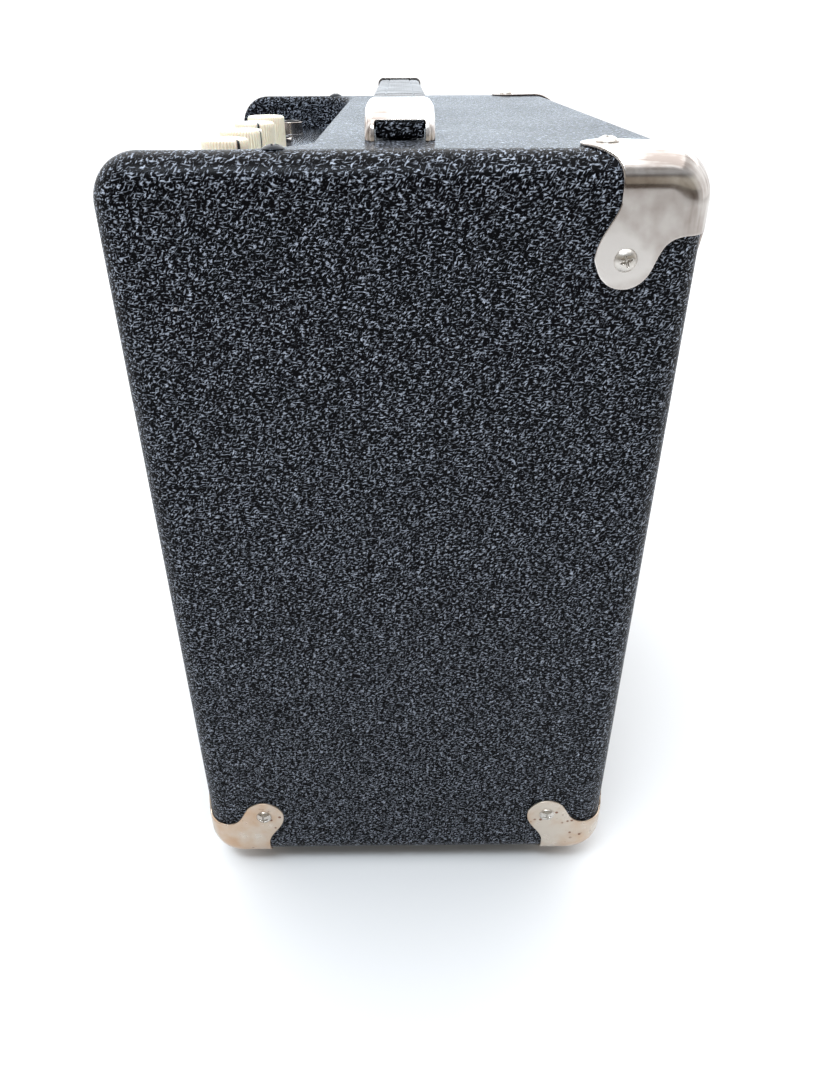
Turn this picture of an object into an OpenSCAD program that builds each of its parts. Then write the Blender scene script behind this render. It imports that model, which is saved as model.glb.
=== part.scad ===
// Small valve guitar amplifier with one 8 inch loudspeaker, in millimetres, +Z up, front towards -Y.
// The origin is on the floor under the middle of the cabinet.

/* [Cabinet] */
// Width over the covering
cab_w = 346; // [300:1:460]
// Depth, front to back
cab_d = 215; // [190:1:280]
// Height without the feet
cab_h = 359; // [310:1:460]
// Roundover all round each side face
side_r = 12; // [8:0.5:14]
// Corner radius of the side outline
corner_r = 17.3; // [15:0.1:24]
// Thickness of the side and bottom boards
board_t = 15; // [12:0.5:20]
// Thickness of the top board
top_t = 17; // [14:0.5:20]
// Thickness of the vinyl covering
cover_t = 0.8; // [0.5:0.1:1.2]
// Depth of the baffle behind the cabinet's front
lip_d = 14; // [12:0.5:16]

/* [Control recess] */
// Recess length, front to back
recess_d = 73.5; // [66:0.5:90]
// Inside corner radius of the recess
recess_r = 26; // [10:0.5:32]
// Depth of the control panel below the top
panel_drop = 19; // [18:0.5:24]
// Roundover of the recess edge
recess_roll = 4.6; // [3:0.5:6]
// Height of the upper front rail
rail_h = 34; // [25:1:40]
// Height of the lower front rail, from the cabinet's underside
low_rail_h = 50; // [46:1:52]
// Sheet thickness of the control panel
panel_t = 1.2; // [0.8:0.1:2]
// Height of the panel's front lip
panel_lip = 9; // [5:1:15]

/* [Controls] */
// Knob diameter
knob_d = 19; // [15:0.5:22]
// Knob spacing
knob_pitch = 39; // [30:1:39]
// Middle of the knob next to the lamp, from the cabinet's middle
knob_x = 108; // [98:1:112]
// Knob and jack line, from the cabinet's front
knob_in = 37.5; // [30:0.5:42]
// How far the knob tops lie below the cabinet's top
knob_sink = 1.4; // [0:0.1:5]
// Number of flutes on a knob
flutes = 44; // [24:1:60]
// Diameter of a potentiometer shaft
shaft_d = 6; // [4:0.1:6.4]
// Running clearance round a shaft
shaft_gap = 0.05; // [0.02:0.01:0.1]
// Middle of the phones jack
phones_x = -57; // [-70:1:-50]
// Middle of the input jack
input_x = -115; // [-125:1:-95]
// Bore of the jacks
jack_bore = 6.4; // [6.3:0.05:6.6]
// Middle of the pilot lamp
lamp_x = 131; // [125:1:134]

/* [Handle] */
// Distance between the outer ends of the caps
handle_l = 279; // [230:1:290]
// Length of a cap
cap_l = 35; // [28:1:45]
// Width of a cap
cap_w = 26; // [24:0.5:32]
// Width of the strap
strap_w = 23; // [16:0.5:23]
// Thickness of the strap
strap_t = 5.6; // [4:0.2:6]
// Height of the strap's underside over the top
strap_gap = 6.8; // [5.5:0.1:12]
// Length of the grip between the flexing ends
grip_l = 150; // [110:1:160]

/* [Metal corners] */
// Sheet thickness of the corners
corner_t = 1.2; // [0.8:0.1:1.5]
// Radius of the lobe round a corner screw
lobe_r = 10.3; // [8:0.1:12]

/* [Feet] */
// Height of the feet
foot_h = 10; // [6:0.5:20]
// Diameter of a foot where it meets the cabinet
foot_d = 32; // [24:1:38]
// Middle of a foot from the cabinet's side and front
foot_in = 50; // [46:1:60]

/* [Loudspeaker] */
// Diameter over the basket's flange
spk_d = 203; // [165:1:203]
// Middle of the loudspeaker over the cabinet's underside
spk_z = 147; // [146:1:152]
// Thickness of the baffle
baffle_t = 12; // [9:0.5:18]
// Depth of the loudspeaker behind the baffle
spk_depth = 72; // [66:1:80]
// Diameter of the magnet
magnet_d = 84; // [70:1:100]
// Diameter of the voice coil
coil_d = 26; // [20:1:32]

/* [Chassis] */
// Width of the chassis
chassis_w = 290; // [285:1:296]
// Height of the chassis
chassis_h = 45; // [42:1:60]
// Sheet thickness
sheet_t = 1.2; // [0.8:0.1:2]

/* [Back] */
// Thickness of the back panels
back_t = 9; // [6:0.5:12]
// Height of the lower back panel
back_low_h = 84; // [60:1:110]
// Height of the upper back panel
back_up_h = 74; // [50:1:90]
// Depth of the cleats
cleat = 16; // [12:1:20]
// Width of the cleats
cleat_w = 10; // [8:0.5:11]
// How far the back panels lie below the cabinet's rear
back_drop = 0.5; // [0.3:0.1:2]

/* [Hidden] */

$fn = 32;
eps = 0.01;          // a cut runs this far past a face
seat = 0.3;          // gap between pieces that are placed, not glued
xo = cab_w/2;        // outside of the covering
yf = -cab_d/2;       // cabinet front
yr = cab_d/2;        // cabinet rear
z0 = foot_h;         // cabinet underside
zt = z0 + cab_h;     // cabinet top
xi = xo - cover_t - board_t;      // inside of a side board
xl = xi - cover_t;                // the same with its covering
zb = z0 + cover_t + board_t;      // top of the bottom board
zu = zt - cover_t - top_t;        // underside of the top board
y_rec = yf + recess_d;            // rear wall of the recess
panel_z = zt - panel_drop;        // top of the control panel
seat_z = panel_z - panel_t;       // what the panel lies on
rail_z = seat_z - cover_t - rail_h;
rail_y = yf + 16;                 // rear face of the front rail
low_rail_z = z0 + low_rail_h;     // top of the lower rail
back_y = yr - back_drop;          // outer face of the back panels
back_in = back_y - back_t;        // inner face of the back panels
big = 2*cab_h;

// ---- shapes shared by several pieces ----

// The cabinet's rounded block, inset by e
module form(e) {
  hull() for (sx = [-1, 1], sy = [-1, 1], z = [z0 + corner_r, zt - corner_r])
    translate([sx*(xo - side_r), sy*(yr - corner_r), z]) rotate([0, 90, 0])
      rotate_extrude($fn = 48) intersection() {
        translate([corner_r - side_r, 0]) circle(side_r - e, $fn = 24);
        translate([0, -side_r - 5]) square(2*side_r + 10);
      }
}

// A box between two corner points
module span(a, b) translate(a) cube(b - a);

// Plan of the recess, grown by g
module recess_plan(g) {
  translate([-xl - g, yf - 5]) square([2*(xl + g), recess_d + 5 - recess_r]);
  translate([-xl + recess_r, yf - 5]) square([2*(xl - recess_r), recess_d + 5 + g]);
  for (s = [-1, 1]) translate([s*(xl - recess_r), y_rec - recess_r]) circle(recess_r + g, $fn = 64);
}

// Corner of a roundover as a few flats: the material outside a quarter circle of radius r
module roll_profile(r) {
  flats = 3;
  polygon(concat([[-1, 1]], [[-1, -r]],
    [for (i = [0:flats]) [r - r*cos(90*i/flats), r*sin(90*i/flats) - r]], [[r, 1]]));
}

// What the recess takes away: its well down to depth z and the rounded edge at the top
module recess_cut(g, z) {
  r = recess_roll - g;
  translate([0, 0, z]) linear_extrude(zt + 1 - z) recess_plan(g);
  for (s = [-1, 1]) {
    translate([s*(xl + g), yf - 5, zt - g]) mirror([s < 0 ? 1 : 0, 0, 0]) rotate([90, 0, 180])
      mirror([1, 0, 0]) linear_extrude(recess_d + 5 - recess_r) roll_profile(r);
    translate([s*(xl - recess_r), y_rec - recess_r, zt - g]) mirror([s < 0 ? 1 : 0, 0, 0])
      rotate_extrude(angle = 90, $fn = 64) translate([recess_r + g, 0]) roll_profile(r);
  }
  translate([-xl + recess_r, y_rec + g, zt - g]) rotate([90, 0, 90])
    linear_extrude(2*(xl - recess_r)) roll_profile(r);
}

// Air inside the cabinet, up to the boards
module inner_air() {
  span([-xi, yf - 1, low_rail_z], [xi, yr + 1, rail_z]);
  span([-xi, yf + lip_d, zb], [xi, yr + 1, rail_z]);
  span([-xi, rail_y, zb], [xi, yr + 1, zu]);
}

// Air inside the cabinet, up to the covering round its front and rear edges
module lined_air() {
  span([-xl, yf - 1, low_rail_z + cover_t], [xl, yf + lip_d, rail_z - cover_t]);
  span([-xi, yf + lip_d, zb], [xi, back_in, rail_z - cover_t]);
  span([-xi, rail_y + cover_t, zb], [xi, back_in, zu]);
  span([-xl, back_in - 1, zb + cover_t], [xl, yr + 1, zu - cover_t]);
}

// A countersunk or domed screw: head upwards at the origin, shank down
module dome_screw(head_d, head_h, shank_d, len) {
  cap_r = (head_d*head_d/4 + head_h*head_h)/(2*head_h);
  difference() {
    intersection() {
      translate([0, 0, head_h - cap_r]) sphere(cap_r, $fn = 48);
      cylinder(d = head_d, h = head_h + 1);
    }
    for (a = [0, 90]) rotate(a) translate([-head_d*0.26, -0.5, head_h - 1]) cube([head_d*0.52, 1, 2]);
  }
  translate([0, 0, -len]) cylinder(d = shank_d, h = len + eps);
}

// ---- cabinet ----

module side_board(s) color("burlywood") difference() {
  intersection() {
    form(cover_t);
    span(s > 0 ? [xi, -big, 0] : [-xo, -big, 0], s > 0 ? [xo, big, big] : [-xi, big, big]);
  }
  recess_cut(cover_t, seat_z);
  corner_screw_holes();
  chassis_screw_holes();
}
module side_board_left() side_board(-1);
module side_board_right() side_board(1);

module top_board() color("burlywood") difference() {
  intersection() {
    form(cover_t);
    span([-xi, y_rec - recess_r - 2, zu], [xi, yr, zt]);
  }
  recess_cut(cover_t, seat_z);
  corner_screw_holes();
  handle_screw_holes();
}

module bottom_board() color("burlywood") difference() {
  intersection() {
    form(cover_t);
    span([-xi, yf, z0], [xi, yr, zb]);
  }
  foot_screw_holes();
  corner_screw_holes();
}

// The rails over and under the grille
module front_rails() color("burlywood") {
  span([-xi, yf + cover_t, rail_z], [xi, rail_y, seat_z - cover_t]);
  difference() {
    intersection() {
      form(cover_t);
      span([-xi, yf, zb], [xi, yf + lip_d, low_rail_z]);
    }
    corner_screw_holes();
  }
}

module vinyl_cover() color("#17181a") difference() {
  form(0);
  difference() {
    form(cover_t);
    inner_air();
    recess_cut(cover_t, seat_z - cover_t);
  }
  lined_air();
  recess_cut(0, seat_z);
  corner_screw_holes();
  foot_screw_holes();
  handle_screw_holes();
  chassis_screw_holes();
}

baffle_y = yf + lip_d;
baffle_back = baffle_y + baffle_t;
flange_r = spk_d/2;
bolt_r = flange_r - 5.5;          // bolt circle of the loudspeaker
hole_r = flange_r - 10;           // opening in the baffle
bolt_angles = [45, 135, 225, 315];
spk_c = [0, z0 + spk_z];

module baffle_board() color("#2a2622") difference() {
  span([-xi, baffle_y, zb], [xi, baffle_back, chassis_z0 - seat]);
  on_speaker(baffle_y - 1) cylinder(r = hole_r, h = baffle_t + 2, $fn = 96);
  for (a = bolt_angles) on_speaker(baffle_y - 1) rotate(a) translate([bolt_r, 0, 0])
    cylinder(d = bolt_d + 0.2, h = baffle_t + 2);
}

// Grille: a wooden frame, the cloth stretched over its front, and a piping round it
piping = 3.6;
grille_t = 7;
grille_x = xl - piping - seat;
grille_z0 = low_rail_z + cover_t + piping + seat;
grille_z1 = rail_z - cover_t - piping - seat;
cloth_t = 0.8;
grille_bar = 14;

module grille_frame() color("#2a2622") difference() {
  span([-grille_x, baffle_y - grille_t, grille_z0], [grille_x, baffle_y, grille_z1]);
  span([-grille_x + grille_bar, yf, grille_z0 + grille_bar],
       [grille_x - grille_bar, 0, grille_z1 - grille_bar]);
}

module grille_cloth() color("#8f8a7e")
  span([-grille_x, baffle_y - grille_t - cloth_t, grille_z0],
       [grille_x, baffle_y - grille_t, grille_z1]);

module grille_piping() color("#d9d2bd") difference() {
  span([-xl, baffle_y - piping, low_rail_z + cover_t], [xl, baffle_y, rail_z - cover_t]);
  span([-grille_x - seat/2, yf, grille_z0 - seat/2], [grille_x + seat/2, 0, grille_z1 + seat/2]);
}

// ---- back ----

chassis_y1 = back_in - 1;          // rear of the chassis
inlet_x = -100;                    // middle of the mains inlet
out_jack_x = 62;                   // middle of the loudspeaker jack
chassis_z0 = seat_z - chassis_h;
back_screw_x = xi - cleat_w/2;
low_z0 = zb + cover_t + seat;
low_z1 = low_z0 + back_low_h;
up_z1 = zu - cover_t - seat;
up_z0 = chassis_z0 - back_up_h;
window_x = [inlet_x - 32, out_jack_x + 16];    // opening for the sockets in the upper panel
window_edge = 3;

module back_screw_places() {
  for (s = [-1, 1], z = [low_z0 + 34, low_z1 - 14, up_z0 + 14, chassis_z0 - 4])
    translate([s*back_screw_x, back_y, z]) rotate([-90, 0, 0]) children();
}

module back_panel(za, zc) difference() {
  span([-xl + seat, back_in, za], [xl - seat, back_y, zc]);
  back_screw_places() translate([0, 0, -back_t - 1]) cylinder(d = 3.4, h = back_t + 2);
  corner_screw_holes();
}
module back_panel_upper() color("#1b1c1e") difference() {
  back_panel(up_z0, up_z1);
  span([window_x[0], back_in - 1, chassis_z0 + window_edge], [window_x[1], yr, seat_z - window_edge]);
}
module back_panel_lower() color("#1b1c1e") back_panel(low_z0, low_z1);

module cleats() color("burlywood") difference() {
  for (s = [-1, 1]) {
    span([s > 0 ? xi - cleat_w : -xi, back_in - cleat, low_z0],
         [s > 0 ? xi : -xi + cleat_w, back_in, up_z1]);
    span([s > 0 ? xi - cleat_w : -xi, baffle_back + 6, chassis_z0 - cleat],
         [s > 0 ? xi : -xi + cleat_w, back_in - cleat - 6, chassis_z0]);
  }
  back_screw_places() translate([0, 0, -back_t - 13]) cylinder(d = 3.4, h = 14);
  corner_screw_holes();
}

module back_panel_screws() color("#202124") back_screw_places() dome_screw(7, 2, 3.4, back_t + 12);

// ---- metal corners ----

// Screw places in the corners: [from the rear or front, from the top or bottom] on each face
top_side = [28.6, 34.7];
top_top = [17, 35.6];
top_rear = [21.5, 31];
low_side = [31, 34];
low_front = [21.5, 34];
side_wrap = [32.5, 27.2];          // plain part of a corner on the side face
top_wrap = [26, 34];
low_wrap = [32.3, 28.2];
rear_wrap = [27, 24];
front_wrap = [27, 28];

// Outline of a corner on one face: the plain part and the lobe round its screw
module corner_outline(wrap, screw, r) {
  polygon([[-3, -3], [wrap[0], -3], [wrap[0], wrap[1]*0.6], [screw[0] + r*0.8, screw[1] - r*0.5],
    screw, [screw[0] - r*0.7, screw[1] + r*0.6], [wrap[0]*0.35, wrap[1]], [-3, wrap[1]]]);
  translate(screw) circle(r);
}

// A bent sheet corner at the rear top, for the side s
module top_corner(s) color("#d8dadd") difference() {
  intersection() {
    form(-corner_t);
    mirror([s < 0 ? 1 : 0, 0, 0]) {
      translate([xo - side_r, yr, zt]) rotate([90, 0, 90]) mirror([1, 0, 0]) mirror([0, 1, 0])
        linear_extrude(side_r + 3) corner_outline(side_wrap, top_side, lobe_r);
      translate([xo, yr, zt - corner_r]) mirror([1, 0, 0]) mirror([0, 1, 0])
        linear_extrude(corner_r + 3) corner_outline(top_wrap, top_top, lobe_r - 1);
      translate([xo, yr - corner_r, zt]) rotate([-90, 0, 0]) mirror([1, 0, 0])
        linear_extrude(corner_r + 3) corner_outline(rear_wrap, top_rear, lobe_r - 1);
    }
  }
  form(0);
  corner_screw_holes();
}
module top_corner_left() top_corner(-1);
module top_corner_right() top_corner(1);

module bottom_corners() color("#b9b6ae") difference() {
  intersection() {
    form(-corner_t);
    for (sx = [0, 1], sy = [0, 1]) mirror([sx, 0, 0]) mirror([0, sy, 0]) {
      translate([xo - side_r, yr, z0]) rotate([90, 0, 90]) mirror([1, 0, 0])
        linear_extrude(side_r + 3) corner_outline(low_wrap, low_side, lobe_r - 1);
      translate([xo, yr - corner_r, z0]) rotate([-90, 0, 0]) mirror([1, 0, 0]) mirror([0, 1, 0])
        linear_extrude(corner_r + 3) corner_outline(front_wrap, low_front, lobe_r - 1);
      translate([xo, yr, z0 - 3]) mirror([1, 0, 0]) mirror([0, 1, 0])
        linear_extrude(corner_r) square([24, 24]);
    }
  }
  form(0);
  corner_screw_holes();
}

// Calls its child at every corner screw, standing on the sheet with +Z outwards
module corner_screw_places() {
  for (sx = [0, 1]) mirror([sx, 0, 0]) {
    translate([xo + corner_t, yr - top_side[0], zt - top_side[1]]) rotate([0, 90, 0]) children();
    translate([xo - top_top[0], yr - top_top[1], zt + corner_t]) children();
    translate([xo - top_rear[0], yr + corner_t, zt - top_rear[1]]) rotate([-90, 0, 0]) children();
    for (sy = [0, 1]) mirror([0, sy, 0]) {
      translate([xo + corner_t, yr - low_side[0], z0 + low_side[1]]) rotate([0, 90, 0]) children();
      translate([xo - low_front[0], yr + corner_t, z0 + low_front[1]]) rotate([-90, 0, 0]) children();
    }
  }
}
corner_screw_d = 3;
corner_screw_l = 12;
module corner_screw_holes() corner_screw_places()
  translate([0, 0, -corner_screw_l - 1]) cylinder(d = corner_screw_d, h = corner_screw_l + 3);

module corner_screws() color("#c9cacc") corner_screw_places()
  dome_screw(8.6, 2.2, corner_screw_d, corner_screw_l);

// ---- feet ----

module foot_places() {
  for (sx = [-1, 1], sy = [-1, 1]) translate([sx*(xo - foot_in), sy*(yr - foot_in), 0]) children();
}
foot_screw_d = 4;
foot_well = foot_h - 3.5;
foot_grip = 10;                    // how far a foot screw reaches into the board
module foot_screw_holes() foot_places() translate([0, 0, foot_well]) cylinder(d = foot_screw_d,
  h = z0 - foot_well + foot_grip + 1);
module rubber_feet() color("#1c1c1c") foot_places() difference() {
  cylinder(d1 = foot_d - 4, d2 = foot_d, h = foot_h);
  translate([0, 0, -1]) cylinder(d = 12, h = foot_well + 1);
  cylinder(d = foot_screw_d, h = foot_h + 1);
}
module foot_screws() color("#b0b2b5") foot_places() translate([0, 0, foot_well]) {
  translate([0, 0, -2.4]) cylinder(d1 = 6, d2 = 8, h = 2.4);
  translate([0, 0, -eps]) cylinder(d = foot_screw_d, h = z0 - foot_well + foot_grip);
}

// ---- handle ----

handle_x = handle_l/2;             // outer end of a cap
cap_in = handle_x - cap_l;         // inner end of a cap
cap_wall = 1;
cap_top_in = strap_gap - 1.4 + strap_t + 1.6;
cap_top_out = 9.7;
mouth_w = 18.7;
mouth_h = 6.8;
screw_x = handle_x - 15;
strap_z = zt + strap_gap;          // underside of the grip
end_z = zt + 2.4;                  // underside of the strap in a cap
spring_t = 1;
spring_w = 13;
flex_x = grip_l/2;                 // where the grip ends and a flexing end begins

module handle_screw_holes() for (s = [-1, 1])
  translate([s*screw_x, 0, zu - 1]) cylinder(d = 4, h = top_t + 4);

// Side outline of a cap, lowered and shortened by e
module cap_outline(e) polygon([
  [cap_in - (e > 0 ? 1 : 0), -1], [cap_in - (e > 0 ? 1 : 0), cap_top_in - e], [handle_x - 16, cap_top_in - e],
  [handle_x - 6, cap_top_out - e], [handle_x - 2 - e, 7.6 - e], [handle_x - e, 3], [handle_x - e, -1]]);

module handle_cap(s) color("#d8dadd") mirror([s < 0 ? 1 : 0, 0, 0]) difference() {
  intersection() {
    translate([0, cap_w/2, zt]) rotate([90, 0, 0]) linear_extrude(cap_w) cap_outline(0);
    span([0, -big, zt], [big, big, big]);
  }
  translate([0, cap_w/2 - cap_wall, zt]) rotate([90, 0, 0])
    linear_extrude(cap_w - 2*cap_wall) cap_outline(cap_wall);
  span([handle_x - 6, -mouth_w/2, zt - 1], [handle_x + 1, mouth_w/2, zt + mouth_h]);
}
module handle_cap_left() handle_cap(-1);
module handle_cap_right() handle_cap(1);

module handle_screws() color("#303236") for (s = [-1, 1]) translate([s*screw_x, 0, 0]) {
  translate([0, 0, zt - top_t]) cylinder(d = 4, h = top_t + 2.4);
  translate([0, 0, zt]) cylinder(d = 9, h = 2.2);
}

// The strap's flexing end: level in the cap, then rising to the grip
module strap_outline(t, lift, x1) polygon([
  [flex_x, strap_z - zt + lift], [cap_in - 12, strap_z - zt - 1 + lift], [cap_in + 6, end_z - zt + lift],
  [x1, end_z - zt + lift], [x1, end_z - zt + lift + t], [cap_in + 6, end_z - zt + lift + t],
  [cap_in - 12, strap_z - zt - 1 + lift + t], [flex_x, strap_z - zt + lift + t]]);

end_x = screw_x - 6;
module handle_end(s) color("#2b2c2e") mirror([s < 0 ? 1 : 0, 0, 0]) difference() {
  translate([0, strap_w/2, zt]) rotate([90, 0, 0]) linear_extrude(strap_w)
    strap_outline(strap_t, 0, end_x);
  translate([0, spring_w/2 + 0.1, zt]) rotate([90, 0, 0]) linear_extrude(spring_w + 0.2)
    strap_outline(spring_t + 0.2, strap_t/2 - spring_t/2 - 0.1, end_x + 1);
}
module handle_end_left() handle_end(-1);
module handle_end_right() handle_end(1);

module handle_grip() color("#2b2c2e") difference() {
  span([-flex_x, -strap_w/2, strap_z], [flex_x, strap_w/2, strap_z + strap_t]);
  span([-flex_x - 1, -spring_w/2 - 0.1, strap_z + strap_t/2 - spring_t/2 - 0.1],
       [flex_x + 1, spring_w/2 + 0.1, strap_z + strap_t/2 + spring_t/2 + 0.1]);
}

module handle_spring() color("#8d9096") difference() {
  union() {
    span([-flex_x, -spring_w/2, strap_z + strap_t/2 - spring_t/2],
         [flex_x, spring_w/2, strap_z + strap_t/2 + spring_t/2]);
    for (s = [0, 1]) mirror([s, 0, 0]) translate([0, spring_w/2, zt]) rotate([90, 0, 0])
      linear_extrude(spring_w) strap_outline(spring_t, strap_t/2 - spring_t/2, handle_x - 4);
  }
  for (s = [-1, 1]) translate([s*screw_x, 0, zt]) cylinder(d = 5, h = 12);
}

// ---- control panel and what is on it ----

knob_y = yf + knob_in;
pot_x = [for (i = [0:3]) knob_x - i*knob_pitch];
pot_hole_d = 9.6;
jack_hole_d = 11.6;
bushing_d = 9;
bushing_up = 5.5;                  // bushing height over the panel
chassis_y0 = rail_y + cover_t + 2;
plate_z = seat_z - sheet_t;        // underside of the chassis top

// Holes through the panel and the chassis top
module panel_holes() {
  for (x = pot_x) translate([x, knob_y, plate_z - 1]) cylinder(d = pot_hole_d, h = 6);
  for (x = [input_x, phones_x, lamp_x]) translate([x, knob_y, plate_z - 1]) cylinder(d = jack_hole_d, h = 6);
}

module control_panel() color("#a9b0ba") difference() {
  union() {
    intersection() {
      translate([0, 0, seat_z]) linear_extrude(panel_t) recess_plan(-seat);
      span([-big, yf - panel_t, 0], [big, big, big]);
    }
    span([-xl + seat, yf - panel_t, panel_z - panel_lip], [xl - seat, yf, panel_z]);
  }
  panel_holes();
}

module knob(i) color("#e9dfc4") translate([pot_x[i], knob_y, 0]) difference() {
  base = panel_z + 0.6;
  top = zt - knob_sink;
  union() {
    translate([0, 0, base]) linear_extrude(top - base - 0.8) difference() {
      circle(d = knob_d, $fn = 96);
      for (k = [0:flutes - 1]) rotate(360*k/flutes) translate([knob_d/2 + 0.1, 0]) circle(0.45, $fn = 16);
    }
    translate([0, 0, top - 0.8 - eps]) cylinder(d1 = knob_d - 1, d2 = knob_d - 2.4, h = 0.8 + eps);
  }
  translate([0, 0, base - 1]) cylinder(d = 15.4, h = bushing_up + 2);
  translate([0, 0, base]) cylinder(d = shaft_d, h = shaft_up);
}
shaft_up = panel_drop - knob_sink - 3;
module knob_1() knob(0);
module knob_2() knob(1);
module knob_3() knob(2);
module knob_4() knob(3);

pot_h = 9;
module pot_shaft(i) color("#c8c9cb") translate([pot_x[i], knob_y, plate_z - pot_h + 1])
  cylinder(d = shaft_d, h = pot_h - 1 + sheet_t + panel_t + 0.6 + shaft_up);
module pot_shaft_1() pot_shaft(0);
module pot_shaft_2() pot_shaft(1);
module pot_shaft_3() pot_shaft(2);
module pot_shaft_4() pot_shaft(3);

module potentiometers() color("#9aa0a6") for (x = pot_x) translate([x, knob_y, 0]) difference() {
  union() {
    translate([0, 0, plate_z - pot_h]) cylinder(d = 17, h = pot_h);
    translate([0, 0, plate_z - eps]) cylinder(d = bushing_d, h = sheet_t + panel_t + bushing_up);
    translate([-6, 7, plate_z - pot_h + 2]) cube([12, 8, 1]);
  }
  translate([0, 0, plate_z - pot_h + 0.8]) cylinder(d = shaft_d + 2*shaft_gap, h = 40);
}

collar_h = 7;
jack_d = 11;
module hex_nut(across, hole, h) difference() {
  cylinder(d = across/cos(30), h = h, $fn = 6);
  translate([0, 0, -1]) cylinder(d = hole, h = h + 2);
}
module panel_nuts() color("#d5d7da") {
  for (x = pot_x) translate([x, knob_y, panel_z]) hex_nut(12, bushing_d, 2.2);
  translate([phones_x, knob_y, panel_z]) hex_nut(14, jack_d, 3);
  translate([input_x, knob_y, panel_z]) difference() {
    union() {
      cylinder(d = 15, h = collar_h - 1);
      translate([0, 0, collar_h - 1 - eps]) cylinder(d1 = 15, d2 = 13, h = 1 + eps);
    }
    translate([0, 0, -1]) cylinder(d = jack_d, h = collar_h + 2);
  }
}

// A panel jack with its bore open at the top
module jack_body(up) difference() {
  union() {
    translate([-9, -9, -24]) cube([18, 18, 24]);
    translate([0, 0, -eps]) cylinder(d = jack_d, h = sheet_t + panel_t + up);
  }
  translate([0, 0, -22]) cylinder(d = jack_bore, h = 60);
}
module input_jack() color("#3a3c40") translate([input_x, knob_y, plate_z]) jack_body(collar_h + 0.6);
module phones_jack() color("#3a3c40") translate([phones_x, knob_y, plate_z]) jack_body(3.8);

module pilot_lamp() color("#c02418") translate([lamp_x, knob_y, 0]) {
  translate([0, 0, panel_z]) cylinder(d = 16, h = 2);
  translate([0, 0, panel_z + 2 - eps]) cylinder(d1 = 13, d2 = 8, h = 4);
  translate([0, 0, plate_z - 16]) cylinder(d = jack_d, h = 16 + sheet_t + panel_t + eps);
}

// ---- chassis and electronics ----

inlet = [48, 27];                  // opening for the inlet, width and height
inlet_z = chassis_z0 + chassis_h/2;

chassis_x = min(chassis_w/2, xi - cleat_w - 1);
module chassis() color("#8f9499") difference() {
  span([-chassis_x, chassis_y0, plate_z], [chassis_x, chassis_y1, seat_z]);
  panel_holes();
}

// The tray's front and side walls, and the flanges that rest on the cleats
module chassis_walls() color("#8f9499") difference() {
  union() {
    span([-chassis_x, chassis_y0, chassis_z0], [chassis_x, chassis_y1 - sheet_t, plate_z]);
    span([-xi + seat, baffle_back + 6, chassis_z0], [xi - seat, back_in - cleat - 6, chassis_z0 + sheet_t]);
  }
  span([-chassis_x + sheet_t, chassis_y0 + sheet_t, chassis_z0 - 1],
       [chassis_x - sheet_t, chassis_y1, plate_z + 1]);
}

// The tray's rear wall, with the sockets
module chassis_rear() color("#8f9499") difference() {
  span([-chassis_x, chassis_y1 - sheet_t, chassis_z0], [chassis_x, chassis_y1, plate_z]);
  span([inlet_x - inlet[0]/2, chassis_y1 - 5, inlet_z - inlet[1]/2],
       [inlet_x + inlet[0]/2, chassis_y1 + 1, inlet_z + inlet[1]/2]);
  translate([out_jack_x, chassis_y1 + 1, inlet_z]) rotate([90, 0, 0]) cylinder(d = jack_hole_d, h = 6);
}

// Black dome screws down into the cheeks
dome_x = xo - 13;
dome_y = yf + 64;
module dome_places() for (s = [-1, 1]) translate([s*dome_x, dome_y, zt]) children();
module chassis_screw_holes() dome_places() translate([0, 0, -26]) cylinder(d = 4, h = 28);
module chassis_screws() color("#131415") dome_places() dome_screw(8.8, 3, 4, 25);

board = [[-44, chassis_y0 + 4], [128, chassis_y0 + 66]];
board_z = plate_z - 27;
laminate = 1.6;
module circuit_board() color("#2f5a3a") {
  span([board[0][0], board[0][1], board_z], [board[1][0], board[1][1], board_z + laminate]);
  for (x = [board[0][0] + 5, board[1][0] - 5], y = [board[0][1] + 3.5, board[1][1] - 5])
    translate([x, y, board_z + laminate - eps]) cylinder(d = 6, h = plate_z - board_z - laminate + eps);
  for (i = [0:2]) translate([20 + 34*i, board[1][1] - 26, board_z + eps]) rotate([180, 0, 0])
    cylinder(d = 13, h = 13);
}

valve_y = 50;
preamp_x = 0;
power_x = 36;
socket_h = 10;
module valve_sockets() color("#e4e0d4") for (x = [preamp_x, power_x])
  translate([x, valve_y, plate_z - socket_h]) difference() {
    cylinder(d = 22, h = socket_h);
    for (a = [0:40:280]) rotate(a + 20) translate([5.9, 0, -1]) cylinder(d = 1.4, h = 8);
  }

// A glass valve hanging base up, with its pins in the socket
module valve(d, len) translate([0, 0, plate_z - socket_h]) {
  translate([0, 0, -len + d/2]) cylinder(d = d, h = len - d/2);
  translate([0, 0, -len + d/2]) sphere(d = d);
  for (a = [0:40:280]) rotate(a + 20) translate([5.9, 0, -eps]) cylinder(d = 1.2, h = 6);
}
module valves() color("#cfd6da") {
  translate([preamp_x, valve_y, 0]) valve(20, 47);
  translate([power_x, valve_y, 0]) valve(22, 62);
}

// A transformer: a stack of laminations, its winding and two end bells' feet
module transformer(w, d, h) {
  translate([-w/2, -d/4, -h]) cube([w, d/2, h - 1.5]);
  translate([-w*0.32, -d/2, -h*0.82]) cube([w*0.64, d, h*0.64]);
  translate([-w/2 - 8, -d/4, -1.5 - eps]) cube([w + 16, d/2, 1.5 + eps]);
}
module transformers() color("#3b3f45") {
  translate([-96, 22, plate_z]) transformer(62, 52, 52);
  translate([102, 40, plate_z]) transformer(48, 40, 40);
}

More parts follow.
